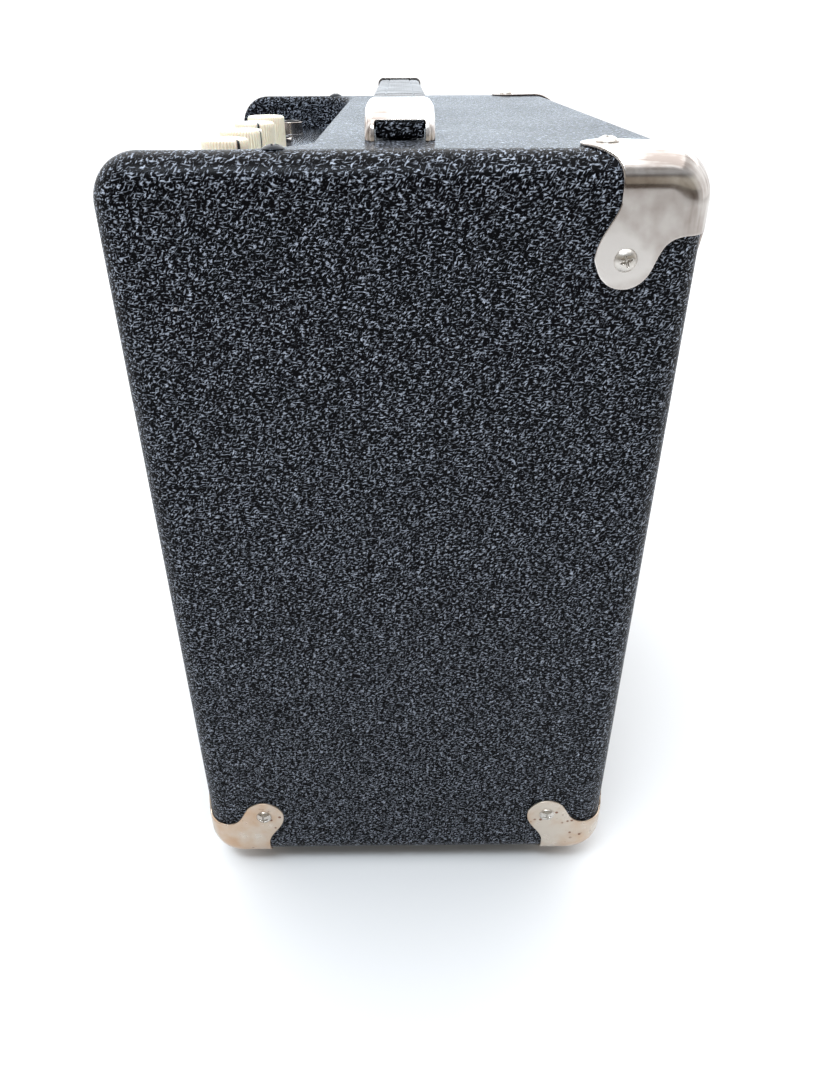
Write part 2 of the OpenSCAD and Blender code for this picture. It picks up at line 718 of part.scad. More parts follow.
// Mains inlet module: socket on the left, rocker frame on the right, seen from behind
socket_c = inlet_x + 9.5;          // middle of the socket
rocker_c = inlet_x - 14.5;         // middle of the rocker
rocker = [13, 20];
inlet_face = 3;
module mains_inlet() color("#1a1b1d") difference() {
  union() {
    span([inlet_x - inlet[0]/2 - 3, chassis_y1, inlet_z - inlet[1]/2 - 3],
         [inlet_x + inlet[0]/2 + 3, chassis_y1 + inlet_face, inlet_z + inlet[1]/2 + 3]);
    span([inlet_x - inlet[0]/2 + seat, chassis_y1 - 22, inlet_z - inlet[1]/2 + seat],
         [inlet_x + inlet[0]/2 - seat, chassis_y1 + eps, inlet_z + inlet[1]/2 - seat]);
  }
  difference() {
    span([socket_c - 12.2, chassis_y1 - 14, inlet_z - 8], [socket_c + 12.2, chassis_y1 + 9, inlet_z + 8]);
    for (p = [[-7, -2], [0, 2], [7, -2]])
      translate([socket_c + p[0] - 1, chassis_y1 - 15, inlet_z + p[1] - 2]) cube([2, 11, 4]);
  }
  span([rocker_c - rocker[0]/2, chassis_y1 - 9, inlet_z - rocker[1]/2],
       [rocker_c + rocker[0]/2, chassis_y1 + 9, inlet_z + rocker[1]/2]);
  translate([rocker_c - rocker[0]/2 - 1.6, rocker_y, inlet_z]) rotate([0, 90, 0])
    cylinder(r = rocker_pin + shaft_gap, h = rocker[0] + 3.2);
}

// The rocker rolls on a pin along X
rocker_y = chassis_y1 - 0.5;
rocker_pin = 1.5;
rocker_tilt = 9.5;                 // tilt to either side of level
module power_rocker() color("#7c1713") translate([rocker_c, rocker_y, inlet_z]) {
  rotate([0, 90, 0]) translate([0, 0, -rocker[0]/2 - 1.4]) cylinder(r = rocker_pin, h = rocker[0] + 2.8);
  rotate([rocker_tilt, 0, 0]) rotate([90, 0, 90]) translate([0, 0, -rocker[0]/2 + 0.4])
    linear_extrude(rocker[0] - 0.8)
      polygon([[-3, -3], [2, -8.6], [4, -8.4], [3.2, 0], [4, 8.4], [2, 8.6], [-3, 3]]);
}

module speaker_jack() color("#3a3c40")
  translate([out_jack_x, chassis_y1 - sheet_t, inlet_z]) rotate([-90, 0, 0]) difference() {
    union() {
      translate([-9, -9, -22]) cube([18, 18, 22]);
      translate([0, 0, -eps]) cylinder(d = jack_d, h = sheet_t + 4.4);
      translate([0, 0, sheet_t]) cylinder(d = 14/cos(30), h = 2.6, $fn = 6);
    }
    translate([0, 0, -20]) cylinder(d = jack_bore, h = 40);
  }

// ---- loudspeaker, its axis along Y, facing -Y ----

// Puts its child's +Z along +Y, on the loudspeaker's axis, starting at y
module on_speaker(y) translate([spk_c[0], y, spk_c[1]]) rotate([-90, 0, 0]) children();

bolt_d = 4;
surround_t = 0.8;
frame_y = 1;                       // flange's distance behind the baffle
cone_r = flange_r - 17.5;
coil_r = coil_d/2;
shelf_h = 37;                      // spider's seat behind the baffle
plate_h = spk_depth - 24;          // front plate of the magnet
shelf_r = magnet_d/2 + 7;

rim_out = flange_r - 10;           // the cone of the basket starts between these
rim_in = flange_r - 12;
module speaker_rim() color("#9ba0a4") on_speaker(baffle_back) difference() {
  rotate_extrude($fn = 96) polygon([[flange_r, frame_y], [flange_r, frame_y + 1.4],
    [rim_out, frame_y + 1.6], [rim_in, frame_y + 1], [rim_in, frame_y]]);
  for (a = bolt_angles) rotate(a) translate([bolt_r, 0, -1]) cylinder(d = bolt_d + 0.3, h = 6);
}

module speaker_basket() color("#9ba0a4") on_speaker(baffle_back) difference() {
  rotate_extrude($fn = 96) polygon([
    [rim_out, frame_y + 1.6], [shelf_r + 1, shelf_h + 1], [shelf_r + 1, shelf_h + 3],
    [magnet_d/2 - 1, plate_h - 1.4], [magnet_d/2 - 1, plate_h], [coil_r + 4, plate_h],
    [coil_r + 4, plate_h - 1.4], [magnet_d/2 - 2.4, plate_h - 1.4], [shelf_r - 1, shelf_h + 2],
    [shelf_r - 6, shelf_h + 2], [shelf_r - 6, shelf_h], [shelf_r - 1, shelf_h], [rim_in, frame_y + 1]]);
  for (a = [0:60:300]) rotate(a) translate([0, 0, 8]) rotate([90, 0, 90])
    linear_extrude(flange_r) polygon([[-30, 0], [30, 0], [17, shelf_h - 12], [-17, shelf_h - 12]]);
}

gap_r = coil_r + 1.2;
pole_r = coil_r - 1.2;
module speaker_magnet() color("#2c2e31") on_speaker(baffle_back + plate_h) difference() {
  union() {
    cylinder(r = magnet_d/2 - 4, h = 4, $fn = 64);
    translate([0, 0, 4 - eps]) cylinder(d = magnet_d, h = 16, $fn = 64);
    translate([0, 0, 20 - 2*eps]) cylinder(r = magnet_d/2 - 4, h = 4, $fn = 64);
  }
  translate([0, 0, -1]) difference() {
    cylinder(r = gap_r, h = 19);
    translate([0, 0, -1]) cylinder(r = pole_r, h = 24);
  }
}

neck_h = 34;                       // where the cone meets the coil
paper = 0.7;
cap_edge = coil_r + 6;             // radius of the dust cap
cap_rise = 8;
module speaker_cone() color("#24221f") on_speaker(baffle_back) {
  rotate_extrude($fn = 96) polygon([
    [cone_r, 1.2], [cone_r, 1.2 + paper], [coil_r + 0.3 + paper, neck_h + paper],
    [coil_r + 0.3, neck_h + paper], [coil_r + 0.3, neck_h - 0.6], [cone_r - 1.5, 1.2]]);
  cap_z = 1.2 + (cone_r - 1.5 - cap_edge)/(cone_r - 1.8 - coil_r)*(neck_h - 1.8) - 0.1;
  rotate_extrude($fn = 64) polygon(concat(
    [for (i = [0:8]) [cap_edge*cos(i*11.25), cap_z - cap_rise*sin(i*11.25)]],
    [for (i = [8:-1:0]) [(cap_edge - paper)*cos(i*11.25), cap_z - (cap_rise - paper)*sin(i*11.25)]]));
}

module speaker_surround() color("#1d1c1b") on_speaker(baffle_back) rotate_extrude($fn = 96)
  polygon([[cone_r + 0.05, 1.9], [cone_r + 0.05, 1.1], [cone_r + 2, -1.4], [rim_in - 0.5, -1.4],
    [hole_r - 0.4, 0.1], [bolt_r - 4, 0.1], [bolt_r - 4, frame_y], [hole_r - 0.8, frame_y],
    [rim_in - 1, -0.6], [cone_r + 2.4, -0.6]]);

module speaker_spider() color("#b98d4f") on_speaker(baffle_back + shelf_h - surround_t) difference() {
  cylinder(r = shelf_r - 1.6, h = surround_t, $fn = 96);
  translate([0, 0, -1]) cylinder(r = coil_r + 0.35, h = 4, $fn = 64);
}

module voice_coil() color("#b4643a") on_speaker(baffle_back + neck_h - 2) difference() {
  cylinder(r = coil_r + 0.25, h = plate_h - neck_h + 12, $fn = 64);
  translate([0, 0, -1]) cylinder(r = coil_r - 0.25, h = plate_h - neck_h + 20, $fn = 64);
}

module speaker_bolts() color("#1f2022") for (a = bolt_angles) on_speaker(baffle_y) rotate(a)
  translate([bolt_r, 0, 0]) {
    cylinder(d = bolt_d, h = baffle_t + frame_y + 6);
    translate([0, 0, baffle_t + frame_y + 1.8]) hex_nut(7, bolt_d - 0.2, 3);
  }

side_board_left();
side_board_right();
top_board();
bottom_board();
front_rails();
vinyl_cover();
baffle_board();
grille_frame();
grille_cloth();
grille_piping();
back_panel_upper();
back_panel_lower();
cleats();
back_panel_screws();
top_corner_left();
top_corner_right();
bottom_corners();
corner_screws();
rubber_feet();
foot_screws();
handle_spring();
handle_grip();
handle_end_left();
handle_end_right();
handle_cap_left();
handle_cap_right();
handle_screws();
control_panel();
knob_1();
knob_2();
knob_3();
knob_4();
pot_shaft_1();
pot_shaft_2();
pot_shaft_3();
pot_shaft_4();
potentiometers();
panel_nuts();
input_jack();
phones_jack();
pilot_lamp();
chassis();
chassis_walls();
chassis_rear();
chassis_screws();
circuit_board();
valve_sockets();
valves();
transformers();
mains_inlet();
power_rocker();
speaker_jack();
speaker_basket();
speaker_rim();
speaker_magnet();
speaker_cone();
speaker_surround();
speaker_spider();
voice_coil();
speaker_bolts();
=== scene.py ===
# %% [markdown]
# A small valve guitar amplifier, dressed in Blender round its CAD model. The CAD gives every
# piece its place and its motion. This script gives the covering, the metal, the plastic and the
# cloth their true surfaces. All lengths are in metres, so `mm` turns a maker's size into one.

# %% Frame and values
import math

import bpy
import numpy as np
import openvdb
from mathutils import Matrix, Vector


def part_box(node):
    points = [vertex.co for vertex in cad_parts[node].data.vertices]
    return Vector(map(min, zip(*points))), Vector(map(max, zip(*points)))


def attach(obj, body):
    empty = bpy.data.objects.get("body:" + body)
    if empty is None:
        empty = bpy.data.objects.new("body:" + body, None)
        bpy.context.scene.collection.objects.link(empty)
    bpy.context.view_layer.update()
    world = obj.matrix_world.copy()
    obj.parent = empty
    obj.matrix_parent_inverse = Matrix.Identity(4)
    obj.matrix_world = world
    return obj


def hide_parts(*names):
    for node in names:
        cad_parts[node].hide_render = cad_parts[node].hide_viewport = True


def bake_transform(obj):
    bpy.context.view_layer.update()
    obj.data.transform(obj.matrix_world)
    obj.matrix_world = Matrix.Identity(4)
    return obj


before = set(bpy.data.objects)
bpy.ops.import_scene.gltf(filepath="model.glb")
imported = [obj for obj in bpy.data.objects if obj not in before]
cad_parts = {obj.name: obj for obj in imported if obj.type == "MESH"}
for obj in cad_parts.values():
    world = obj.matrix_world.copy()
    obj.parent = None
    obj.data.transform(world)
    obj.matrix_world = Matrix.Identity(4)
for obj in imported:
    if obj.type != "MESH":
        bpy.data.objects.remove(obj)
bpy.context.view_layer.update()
mm = 0.001
cover_low, cover_high = (np.array(corner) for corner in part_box("vinyl_cover"))
x_out, y_out, top = cover_high
bottom = cover_low[2]
print("covering", (cover_high - cover_low) / mm, "mm")

# %% [markdown]
# The camera comes first, because every later choice is judged through it. It stands at the
# amplifier's right side, a little above the top, and looks down at the side face.

# %% Camera
camera_data = bpy.data.cameras.new("camera")
camera_data.lens = 26.76
camera_data.sensor_width = 36.0
camera_data.clip_start = 0.01
camera = bpy.data.objects.new("camera", camera_data)
bpy.context.scene.collection.objects.link(camera)
look = Vector((-0.84995, 0.00429, -0.52684)).normalized()
right = look.cross(Vector((0, 0, 1))).normalized()
up = right.cross(look)
roll = math.radians(-0.32)
right, up = math.cos(roll) * right + math.sin(roll) * up, math.cos(roll) * up - math.sin(roll) * right
turn = Matrix((right, up, -look)).transposed().to_4x4()
camera.matrix_world = Matrix.Translation((0.4648, -0.0001, bottom + 0.3898)) @ turn
bpy.context.scene.camera = camera

# %% [markdown]
# Small helpers. `link` puts a mesh into the scene and makes it ride on its CAD body.
# `Finish` is a short way to write a node material: it holds the node tree and adds nodes to it.

# %% Helpers for objects
def link(mesh, name, body="root", replaces=(), material=None, smooth=True):
    piece = bpy.data.objects.new(name, mesh)
    bpy.context.scene.collection.objects.link(piece)
    if smooth:
        mesh.shade_smooth()
    if material:
        mesh.materials.clear()
        mesh.materials.append(material)
    if body:
        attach(piece, body)
    if replaces:
        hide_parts(*replaces)
    return piece


def mesh_of(name, points, faces):
    mesh = bpy.data.meshes.new(name)
    mesh.from_pydata([tuple(p) for p in points], [], [tuple(int(i) for i in f) for f in faces])
    mesh.validate()
    mesh.update()
    return mesh


def extent(node):
    """A CAD node's two box corners as arrays."""
    return [np.array(corner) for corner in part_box(node)]


# %% Helpers for materials
class Finish:
    def __init__(self, name, colour, roughness, metallic=0.0, **sockets):
        self.material = bpy.data.materials.new(name)
        self.material.use_nodes = True
        self.nodes = self.material.node_tree.nodes
        self.links = self.material.node_tree.links
        self.shader = self.nodes["Principled BSDF"]
        self.shader.inputs["Base Color"].default_value = (*colour, 1)
        self.shader.inputs["Roughness"].default_value = roughness
        self.shader.inputs["Metallic"].default_value = metallic
        for socket, value in sockets.items():
            self.shader.inputs[socket.replace("_", " ")].default_value = value
        self.place = self.add("ShaderNodeTexCoord").outputs["Object"]

    def add(self, kind, inputs=None, **settings):
        node = self.nodes.new(kind)
        for key, value in settings.items():
            setattr(node, key, value)
        for key, value in (inputs or {}).items():
            if isinstance(value, bpy.types.NodeSocket):
                self.links.new(value, node.inputs[key])
            else:
                node.inputs[key].default_value = value
        return node

    def stretch(self, scale, source=None):
        return self.add("ShaderNodeMapping", {"Vector": source or self.place, "Scale": scale}).outputs[0]

    def noise(self, scale, detail=3.0, source=None, roughness=0.5):
        inputs = {"Vector": source or self.place, "Scale": scale, "Detail": detail, "Roughness": roughness}
        return self.add("ShaderNodeTexNoise", inputs).outputs["Fac"]

    def cells(self, scale, source=None, feature="F1", output="Distance", randomness=1.0):
        inputs = {"Vector": source or self.place, "Scale": scale, "Randomness": randomness}
        return self.add("ShaderNodeTexVoronoi", inputs, feature=feature).outputs[output]

    def ramp(self, source, low, high, to_low=0.0, to_high=1.0, smooth=False):
        inputs = {"Value": source, "From Min": low, "From Max": high, "To Min": to_low, "To Max": to_high}
        kind = "SMOOTHSTEP" if smooth else "LINEAR"
        return self.add("ShaderNodeMapRange", inputs, interpolation_type=kind).outputs[0]

    def maths(self, operation, a, b):
        return self.add("ShaderNodeMath", {0: a, 1: b}, operation=operation).outputs[0]

    def blend(self, amount, a, b):
        inputs = {"Factor": amount, "A": a, "B": b}
        node = self.nodes.new("ShaderNodeMix")
        node.data_type = "RGBA"
        slots = {"Factor": node.inputs[0], "A": node.inputs[6], "B": node.inputs[7]}
        for key, value in inputs.items():
            if isinstance(value, bpy.types.NodeSocket):
                self.links.new(value, slots[key])
            else:
                slots[key].default_value = value if key == "Factor" else (*value, 1)
        return node.outputs[2]

    def set(self, socket, source):
        self.links.new(source, self.shader.inputs[socket])
        return self

    def bump(self, height, distance, strength=1.0):
        inputs = {"Height": height, "Distance": distance, "Strength": strength}
        last = self.shader.inputs["Normal"].links
        if last:
            inputs["Normal"] = last[0].from_socket
        node = self.add("ShaderNodeBump", inputs)
        self.links.new(node.outputs[0], self.shader.inputs["Normal"])
        return self


# %% [markdown]
# The cabinet is covered in black embossed vinyl. The grain is a mesh of raised strokes, each
# about 3 mm long and 0.7 mm wide, some level and some leaning. Two stretched noises give them,
# one turned against the other. The crests carry a painted bluish-grey highlight, light from above
# painted into the colour, and the valleys between stay near black, so the same height drives the
# relief and the colour. A few specks of lint lie on it.

# %% Vinyl
def vinyl_finish(name, level=(1000, 560, 1800), lean=0.95):
    v = Finish(name, (0.007, 0.0075, 0.009), 0.3, Specular_IOR_Level=0.04)
    wander = v.add("ShaderNodeTexNoise", {"Vector": v.place, "Scale": 300.0, "Detail": 1.0}).outputs["Color"]
    shift = v.add("ShaderNodeVectorMath", {0: wander, 1: (0.5, 0.5, 0.5)}, operation="SUBTRACT").outputs[0]
    shift = v.add("ShaderNodeVectorMath", {0: shift, "Scale": 0.0012}, operation="SCALE").outputs[0]
    bent = v.add("ShaderNodeVectorMath", {0: v.place, 1: shift}, operation="ADD").outputs[0]
    leaning = v.add("ShaderNodeMapping", {"Vector": bent, "Rotation": (-lean, 0.0, -lean)}).outputs[0]
    across = v.ramp(v.noise(1.0, 0.0, v.stretch(level, bent)), 0.57, 0.76, smooth=True)
    slanted = v.ramp(v.noise(1.0, 0.0, v.stretch(level, leaning)), 0.57, 0.76, smooth=True)
    crest = v.maths("MAXIMUM", across, slanted)
    soft = v.noise(9.0, 2.0)
    fine = v.noise(500.0, 3.0)
    # Painted highlight: the crests are coloured bluish grey to stand for light glinting off them from above.
    painted_crest_glint = v.maths("MULTIPLY", crest, v.ramp(fine, 0.25, 0.7, 0.35, 1.0))
    lit = v.blend(painted_crest_glint, (0.0018, 0.0018, 0.0024), (0.41, 0.45, 0.53))
    lint = v.ramp(v.cells(55.0), 0.055, 0.035)
    rare = v.ramp(v.noise(13.0, 1.0), 0.60, 0.64)
    v.set("Base Color", v.blend(v.maths("MULTIPLY", lint, rare), lit, (0.42, 0.42, 0.44)))
    v.set("Roughness", v.ramp(soft, 0.3, 0.7, 0.24, 0.34))
    v.bump(crest, 0.001, 1.0)
    return v.material


vinyl = vinyl_finish("vinyl")

# %% [markdown]
# The cabinet's covering is one skin with many roundovers that run into each other. Bevels on a
# cut box tangle at such corners. A distance field doesn't: each shape is a function that says how
# far a point lies outside it, and a rounded edge is a rounded way to join two functions. OpenVDB
# turns the field into quads, and one Newton step puts every point exactly on the surface. The
# field's slope is also the true normal, so the shading is as smooth as the real bend.

# %% Fields
def cut_round(a, b, radius):
    """Where both fields are inside, with a convex edge of that radius between them."""
    edge = np.hypot(np.maximum(radius + a, 0), np.maximum(radius + b, 0))
    return np.minimum(-radius, np.maximum(a, b)) + edge


def join_round(a, b, radius):
    """Where either field is inside, with a hollow fillet of that radius between them."""
    return -cut_round(-a, -b, radius)


def block(p, low, high, radius=0.0):
    """A box between two corners, its edges rounded."""
    half = [(h - l) / 2 - radius for l, h in zip(low, high)]
    away = [np.abs(c - (l + h) / 2) - s for c, l, h, s in zip(p, low, high, half)]
    outside = np.sqrt(sum(np.maximum(a, 0) ** 2 for a in away))
    return outside + np.minimum(np.maximum(np.maximum(away[0], away[1]), away[2]), 0) - radius


def flat_rect(a, b, half_a, half_b, radius):
    """A rounded rectangle in a plane, by its half sizes."""
    u, v = np.abs(a) - half_a + radius, np.abs(b) - half_b + radius
    return np.hypot(np.maximum(u, 0), np.maximum(v, 0)) + np.minimum(np.maximum(u, v), 0) - radius


side_r, corner_r = 12 * mm, 17.3 * mm
middle_z = (top + bottom) / 2


def cabinet(p, grow=0.0):
    """The rounded block of the cabinet."""
    x, y, z = p
    outline = flat_rect(y, z - middle_z, y_out - side_r, (top - bottom) / 2 - side_r, corner_r - side_r)
    along = np.abs(x) - (x_out - side_r)
    inside = np.minimum(np.maximum(along, outline), 0)
    return np.hypot(np.maximum(along, 0), np.maximum(outline, 0)) + inside - side_r - grow


def slope_of(field, points, step=0.05 * mm):
    slope = np.empty_like(points)
    for axis in range(3):
        offset = np.zeros(3)
        offset[axis] = step
        ahead, behind = (points + offset).T, (points - offset).T
        slope[:, axis] = (field(ahead) - field(behind)) / (2 * step)
    return slope


def surface(field, low, high, step, keep=None, passes=2):
    """Points, quads and normals of a field's surface between two corners."""
    low, high = np.array(low), np.array(high)
    count = np.ceil((high - low) / step).astype(int) + 1
    axes = [low[i] + step * np.arange(count[i]) for i in range(3)]
    values = field(np.array(np.meshgrid(*axes, indexing="ij"))) / step
    grid = openvdb.FloatGrid(8.0)
    grid.copyFromArray(np.clip(values, -8, 8).astype(np.float32))
    points, quads = grid.convertToQuads(isovalue=0.0)
    points = points.astype(float) * step + low
    for _ in range(passes):
        slope = slope_of(field, points)
        size = np.maximum((slope ** 2).sum(axis=1), 0.2)
        move = np.clip(field(points.T) / size, -step, step)
        points -= slope * move[:, None]
    normals = slope_of(field, points)
    normals /= np.maximum(np.linalg.norm(normals, axis=1), 1e-6)[:, None]
    a, b, c = (points[quads[:, i]] for i in (0, 1, 2))
    facing = (np.cross(b - a, c - a) * normals[quads[:, 0]]).sum(axis=1)
    if np.median(facing) < 0:
        quads = quads[:, ::-1]
    if keep is not None:
        quads = quads[keep(points)[quads].all(axis=1)]
        used, quads = np.unique(quads, return_inverse=True)
        points, normals, quads = points[used], normals[used], quads.reshape(-1, 4)
    return points, quads, normals


def mesh_from(name, points, quads, normals):
    mesh = mesh_of(name, points, quads)
    mesh.shade_smooth()
    mesh.normals_split_custom_set_from_vertices([tuple(n) for n in normals])
    return mesh


def mirrored(points, quads, normals, signs):
    """The same surface flipped across the planes whose sign is -1."""
    signs = np.array(signs, float)
    flip = quads[:, ::-1] if signs.prod() < 0 else quads
    return points * signs, flip, normals * signs


# %% [markdown]
# The covering itself: the rounded block, less the well for the controls, less the openings in
# front and behind, with every cut edge rolled over as vinyl is when it is folded round a board.

# %% Cabinet covering
panel_low, panel_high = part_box("control_panel")
board_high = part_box("bottom_board")[1]
cloth_low, cloth_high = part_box("grille_cloth")
rail_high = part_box("front_rails")[1]
piping_low, piping_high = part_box("grille_piping")
baffle_low, baffle_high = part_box("baffle_board")
cover_t = x_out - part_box("side_board_right")[1][0]
inner_x = board_high[0]                       # inside of the side boards
lined_x = inner_x - cover_t
panel_top = panel_high[2]
seat = rail_high[2] + cover_t   # what the panel lies on
recess_y = panel_high[1] + 0.3 * mm
recess_r, roll_r, lip_r = 26 * mm, 4.6 * mm, 2.4 * mm
back_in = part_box("back_panel_lower")[0][1]
top_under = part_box("top_board")[0][2]
rail_under = piping_high[2]


def recess(p):
    x, y, z = p
    u, v = np.abs(x) - (lined_x - recess_r), y - (recess_y - recess_r)
    plan = np.hypot(np.maximum(u, 0), np.maximum(v, 0)) + np.minimum(np.maximum(u, v), 0) - recess_r
    return np.maximum(plan, seat - z)


far = 0.1
openings = (
    ((-lined_x, -y_out - far, piping_low[2]), (lined_x, baffle_low[1], rail_under)),
    ((-lined_x, back_in, board_high[2] + cover_t), (lined_x, y_out + far, top_under - cover_t)),
)
hollow_x, hollow_y = inner_x + mm, back_in + 0.5 * mm
hollow = (
    ((-hollow_x, baffle_low[1] - 0.5 * mm, board_high[2] - mm), (hollow_x, hollow_y, rail_under + 0.01 * mm)),
    ((-hollow_x, rail_high[1] + 1.5 * mm, rail_under - far), (hollow_x, hollow_y, seat - 0.4 * mm)),
    ((-hollow_x, recess_y + 4 * mm, seat - mm), (hollow_x, hollow_y, top_under + mm)),
)


def covering(p):
    behind_front = np.clip((p[1] + y_out - 12 * mm) / (12 * mm), 0, 1)
    body = cut_round(cabinet(p), -recess(p), lip_r + (roll_r - lip_r) * behind_front)
    for low, high in openings:
        body = cut_round(body, -block(p, low, high), lip_r)
    for low, high in hollow:
        body = np.maximum(body, -block(p, low, high))
    return body


def outside_of_boards(points):
    return np.minimum.reduce([np.abs(block(points.T, low, high)) for low, high in hollow]) > 0.05 * mm


margin = np.array([4, 4, 4]) * mm
skin = surface(covering, cover_low - margin, cover_high + margin, 2 * mm, keep=outside_of_boards)
link(mesh_from("cabinet_covering", *skin), "cabinet_covering", replaces=["vinyl_cover"],
     material=vinyl,
     smooth=False)
print("covering", len(skin[1]), "quads")

# %% [markdown]
# Chrome is a bright metal with almost no roughness of its own. What makes it look real is fine
# hazing, hairline scratches and the wavy reflection of a pressed sheet. The haze also mottles
# the colour with warm tan patches, a painted reflection of warm surroundings. The lower corners
# are dull nickel, with tan stains and a few specks of rust.

# %% Metals
def chrome_finish(name, dull=(0.34, 0.29, 0.26), bright=(0.68, 0.65, 0.62), low=0.08, high=0.22):
    c = Finish(name, bright, 0.06, 1.0)
    hairline = c.noise(900.0, 2.0, c.stretch((1, 0.05, 0.05)))
    haze_and_painted_reflection = c.maths("MULTIPLY", c.noise(45.0, 5.0), c.ramp(hairline, 0.2, 0.8, 0.6, 1.1))
    # Painted reflection: the haze blends the colour towards a warm dull tan that stands for reflected warm
    # surroundings; the roughness from the same haze is real.
    c.set("Base Color", c.blend(c.ramp(haze_and_painted_reflection, 0.32, 0.52), dull, bright))
    c.set("Roughness", c.ramp(haze_and_painted_reflection, 0.15, 0.6, low, high))
    c.bump(c.noise(28.0, 2.0), 0.001, 0.3)
    c.bump(c.noise(700.0, 2.0), 0.00003, 0.3)
    return c.material


def nickel_finish(name):
    n = Finish(name, (0.56, 0.48, 0.40), 0.34, 1.0)
    stain = n.ramp(n.noise(60.0, 5.0), 0.38, 0.66)
    plate = n.blend(stain, (0.56, 0.50, 0.43), (0.50, 0.35, 0.24))
    speck = n.maths("MULTIPLY", n.ramp(n.cells(260.0), 0.26, 0.16), n.ramp(n.noise(40.0), 0.52, 0.58))
    n.set("Base Color", n.blend(speck, plate, (0.16, 0.06, 0.025)))
    n.set("Roughness", n.ramp(n.noise(120.0, 4.0), 0.3, 0.7, 0.24, 0.42))
    n.set("Metallic", n.ramp(speck, 0.0, 1.0, 1.0, 0.2))
    n.bump(n.noise(500.0, 3.0), 0.00006, 0.4)
    return n.material


chrome = chrome_finish("chrome")
nickel = nickel_finish("dull nickel")
screw_metal = chrome_finish("screw plating", (0.40, 0.35, 0.30), (0.58, 0.55, 0.51), 0.12, 0.3)
black_metal = Finish("black oxide", (0.012, 0.014, 0.018), 0.3, 0.6, Specular_IOR_Level=0.2)
black_metal.set("Roughness", black_metal.ramp(black_metal.noise(200.0), 0.3, 0.7, 0.22, 0.42))
black_metal = black_metal.material

# %% [markdown]
# Each metal corner is a pressed sheet that follows the cabinet's own rounding: the shell between
# the covering and a slightly larger block. Its outline on each face is a plain part and a lobe
# round a screw, joined by a fillet. The shell is cut by those outlines, and its edge is broken.

# %% Metal corners
sheet_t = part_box("top_corner_right")[1][0] - x_out


def lobe(a, b, wrap, screw, radius, fillet):
    """A corner's outline on one face: a and b are measured from the face's two edges."""
    plain = np.maximum(a - wrap[0], b - wrap[1])
    return join_round(plain, np.hypot(a - screw[0], b - screw[1]) - radius, fillet)


top_side, top_top, top_rear = [(28.6, 34.7), (17, 35.6), (21.5, 31)]
low_side, low_front = [(31, 34), (21.5, 34)]


def scaled(pair):
    return [v * mm for v in pair]


def corner_field(at_top):
    edge = top if at_top else bottom
    side, face = (top_side, top_rear) if at_top else (low_side, low_front)
    side_wrap, face_wrap = ((32, 27), (24, 25)) if at_top else ((32.3, 27.6), (24, 27.6))

    def field(p):
        x, y, z = p
        a, b, c = x_out - x, y_out - y, np.abs(edge - z)
        shell = cut_round(cabinet(p, sheet_t), -cabinet(p, 0.02 * mm), 0.35 * mm)
        from_side = lobe(b, c, scaled(side_wrap), scaled(side), 10.3 * mm, 12 * mm)
        from_face = lobe(a, c, scaled(face_wrap), scaled(face), 9.3 * mm, 10 * mm)
        if at_top:
            from_flat = lobe(a, b, scaled((24, 32)), scaled(top_top), 9.3 * mm, 12 * mm)
        else:
            from_flat = np.maximum(a, b) - 27 * mm
        on_side = np.maximum(from_side, a - side_r)
        on_face = np.maximum(from_face, b - corner_r)
        on_flat = np.maximum(from_flat, c - corner_r)
        return cut_round(shell, np.minimum(np.minimum(on_side, on_face), on_flat), 0.4 * mm)
    return field


def corner_mesh(at_top, step):
    reach = 50 * mm
    low = [x_out - reach, y_out - reach, top - reach if at_top else bottom - 3 * mm]
    high = [x_out + 3 * mm, y_out + 3 * mm, top + 3 * mm if at_top else bottom + reach]
    return surface(corner_field(at_top), low, high, step)


top_sheet = corner_mesh(True, 0.55 * mm)
low_sheet = corner_mesh(False, 0.6 * mm)
print("corner sheets", len(top_sheet[1]), len(low_sheet[1]), "quads")
for side, sign in (("right", 1), ("left", -1)):
    mesh = mesh_from("top_corner_" + side, *mirrored(*top_sheet, (sign, 1, 1)))
    link(mesh, "rear_corner_" + side, replaces=["top_corner_" + side], material=chrome,
         smooth=False)
    for face, turned in (("rear", 1), ("front", -1)):
        mesh = mesh_from("low_corner", *mirrored(*low_sheet, (sign, turned, 1)))
        link(mesh, f"bottom_corner_{face}_{side}", replaces=["bottom_corners"],
             material=nickel,
             smooth=False)

# %% [markdown]
# Screws are turned and then struck with a cross. Each head is a cap of a ball with a rolled edge,
# less two tapered slots. One head is made as a field, and copies are turned and laid at every
# place. No two slots stand at the same angle, as on any amplifier put together by hand.

# %% Screw heads
turns = np.random.default_rng(12)


def screw_head(width, rise, slot=0.5, deep=1.1, step=0.28):
    ball = (width ** 2 / 4 + rise ** 2) / (2 * rise)

    def field(p):
        x, y, z = p / mm
        cap = np.maximum(np.sqrt(x ** 2 + y ** 2 + (z - rise + ball) ** 2) - ball, -z - 0.1)
        head = cut_round(cap, np.hypot(x, y) - width / 2 + 0.15, 0.25)
        reach = width * 0.27
        cross = np.full_like(x, 9.0)
        for u, v in ((x, y), (y, x)):
            wall = np.maximum(np.abs(v) - slot - 0.25 * (z - rise), np.abs(u) - reach - 0.3 * (z - rise))
            cross = np.minimum(cross, np.maximum(wall, rise - deep - z))
        return cut_round(head, -cross, 0.12) * mm
    half = (width / 2 + 0.6) * mm
    return surface(field, (-half, -half, -0.6 * mm), (half, half, (rise + 0.6) * mm), step * mm)


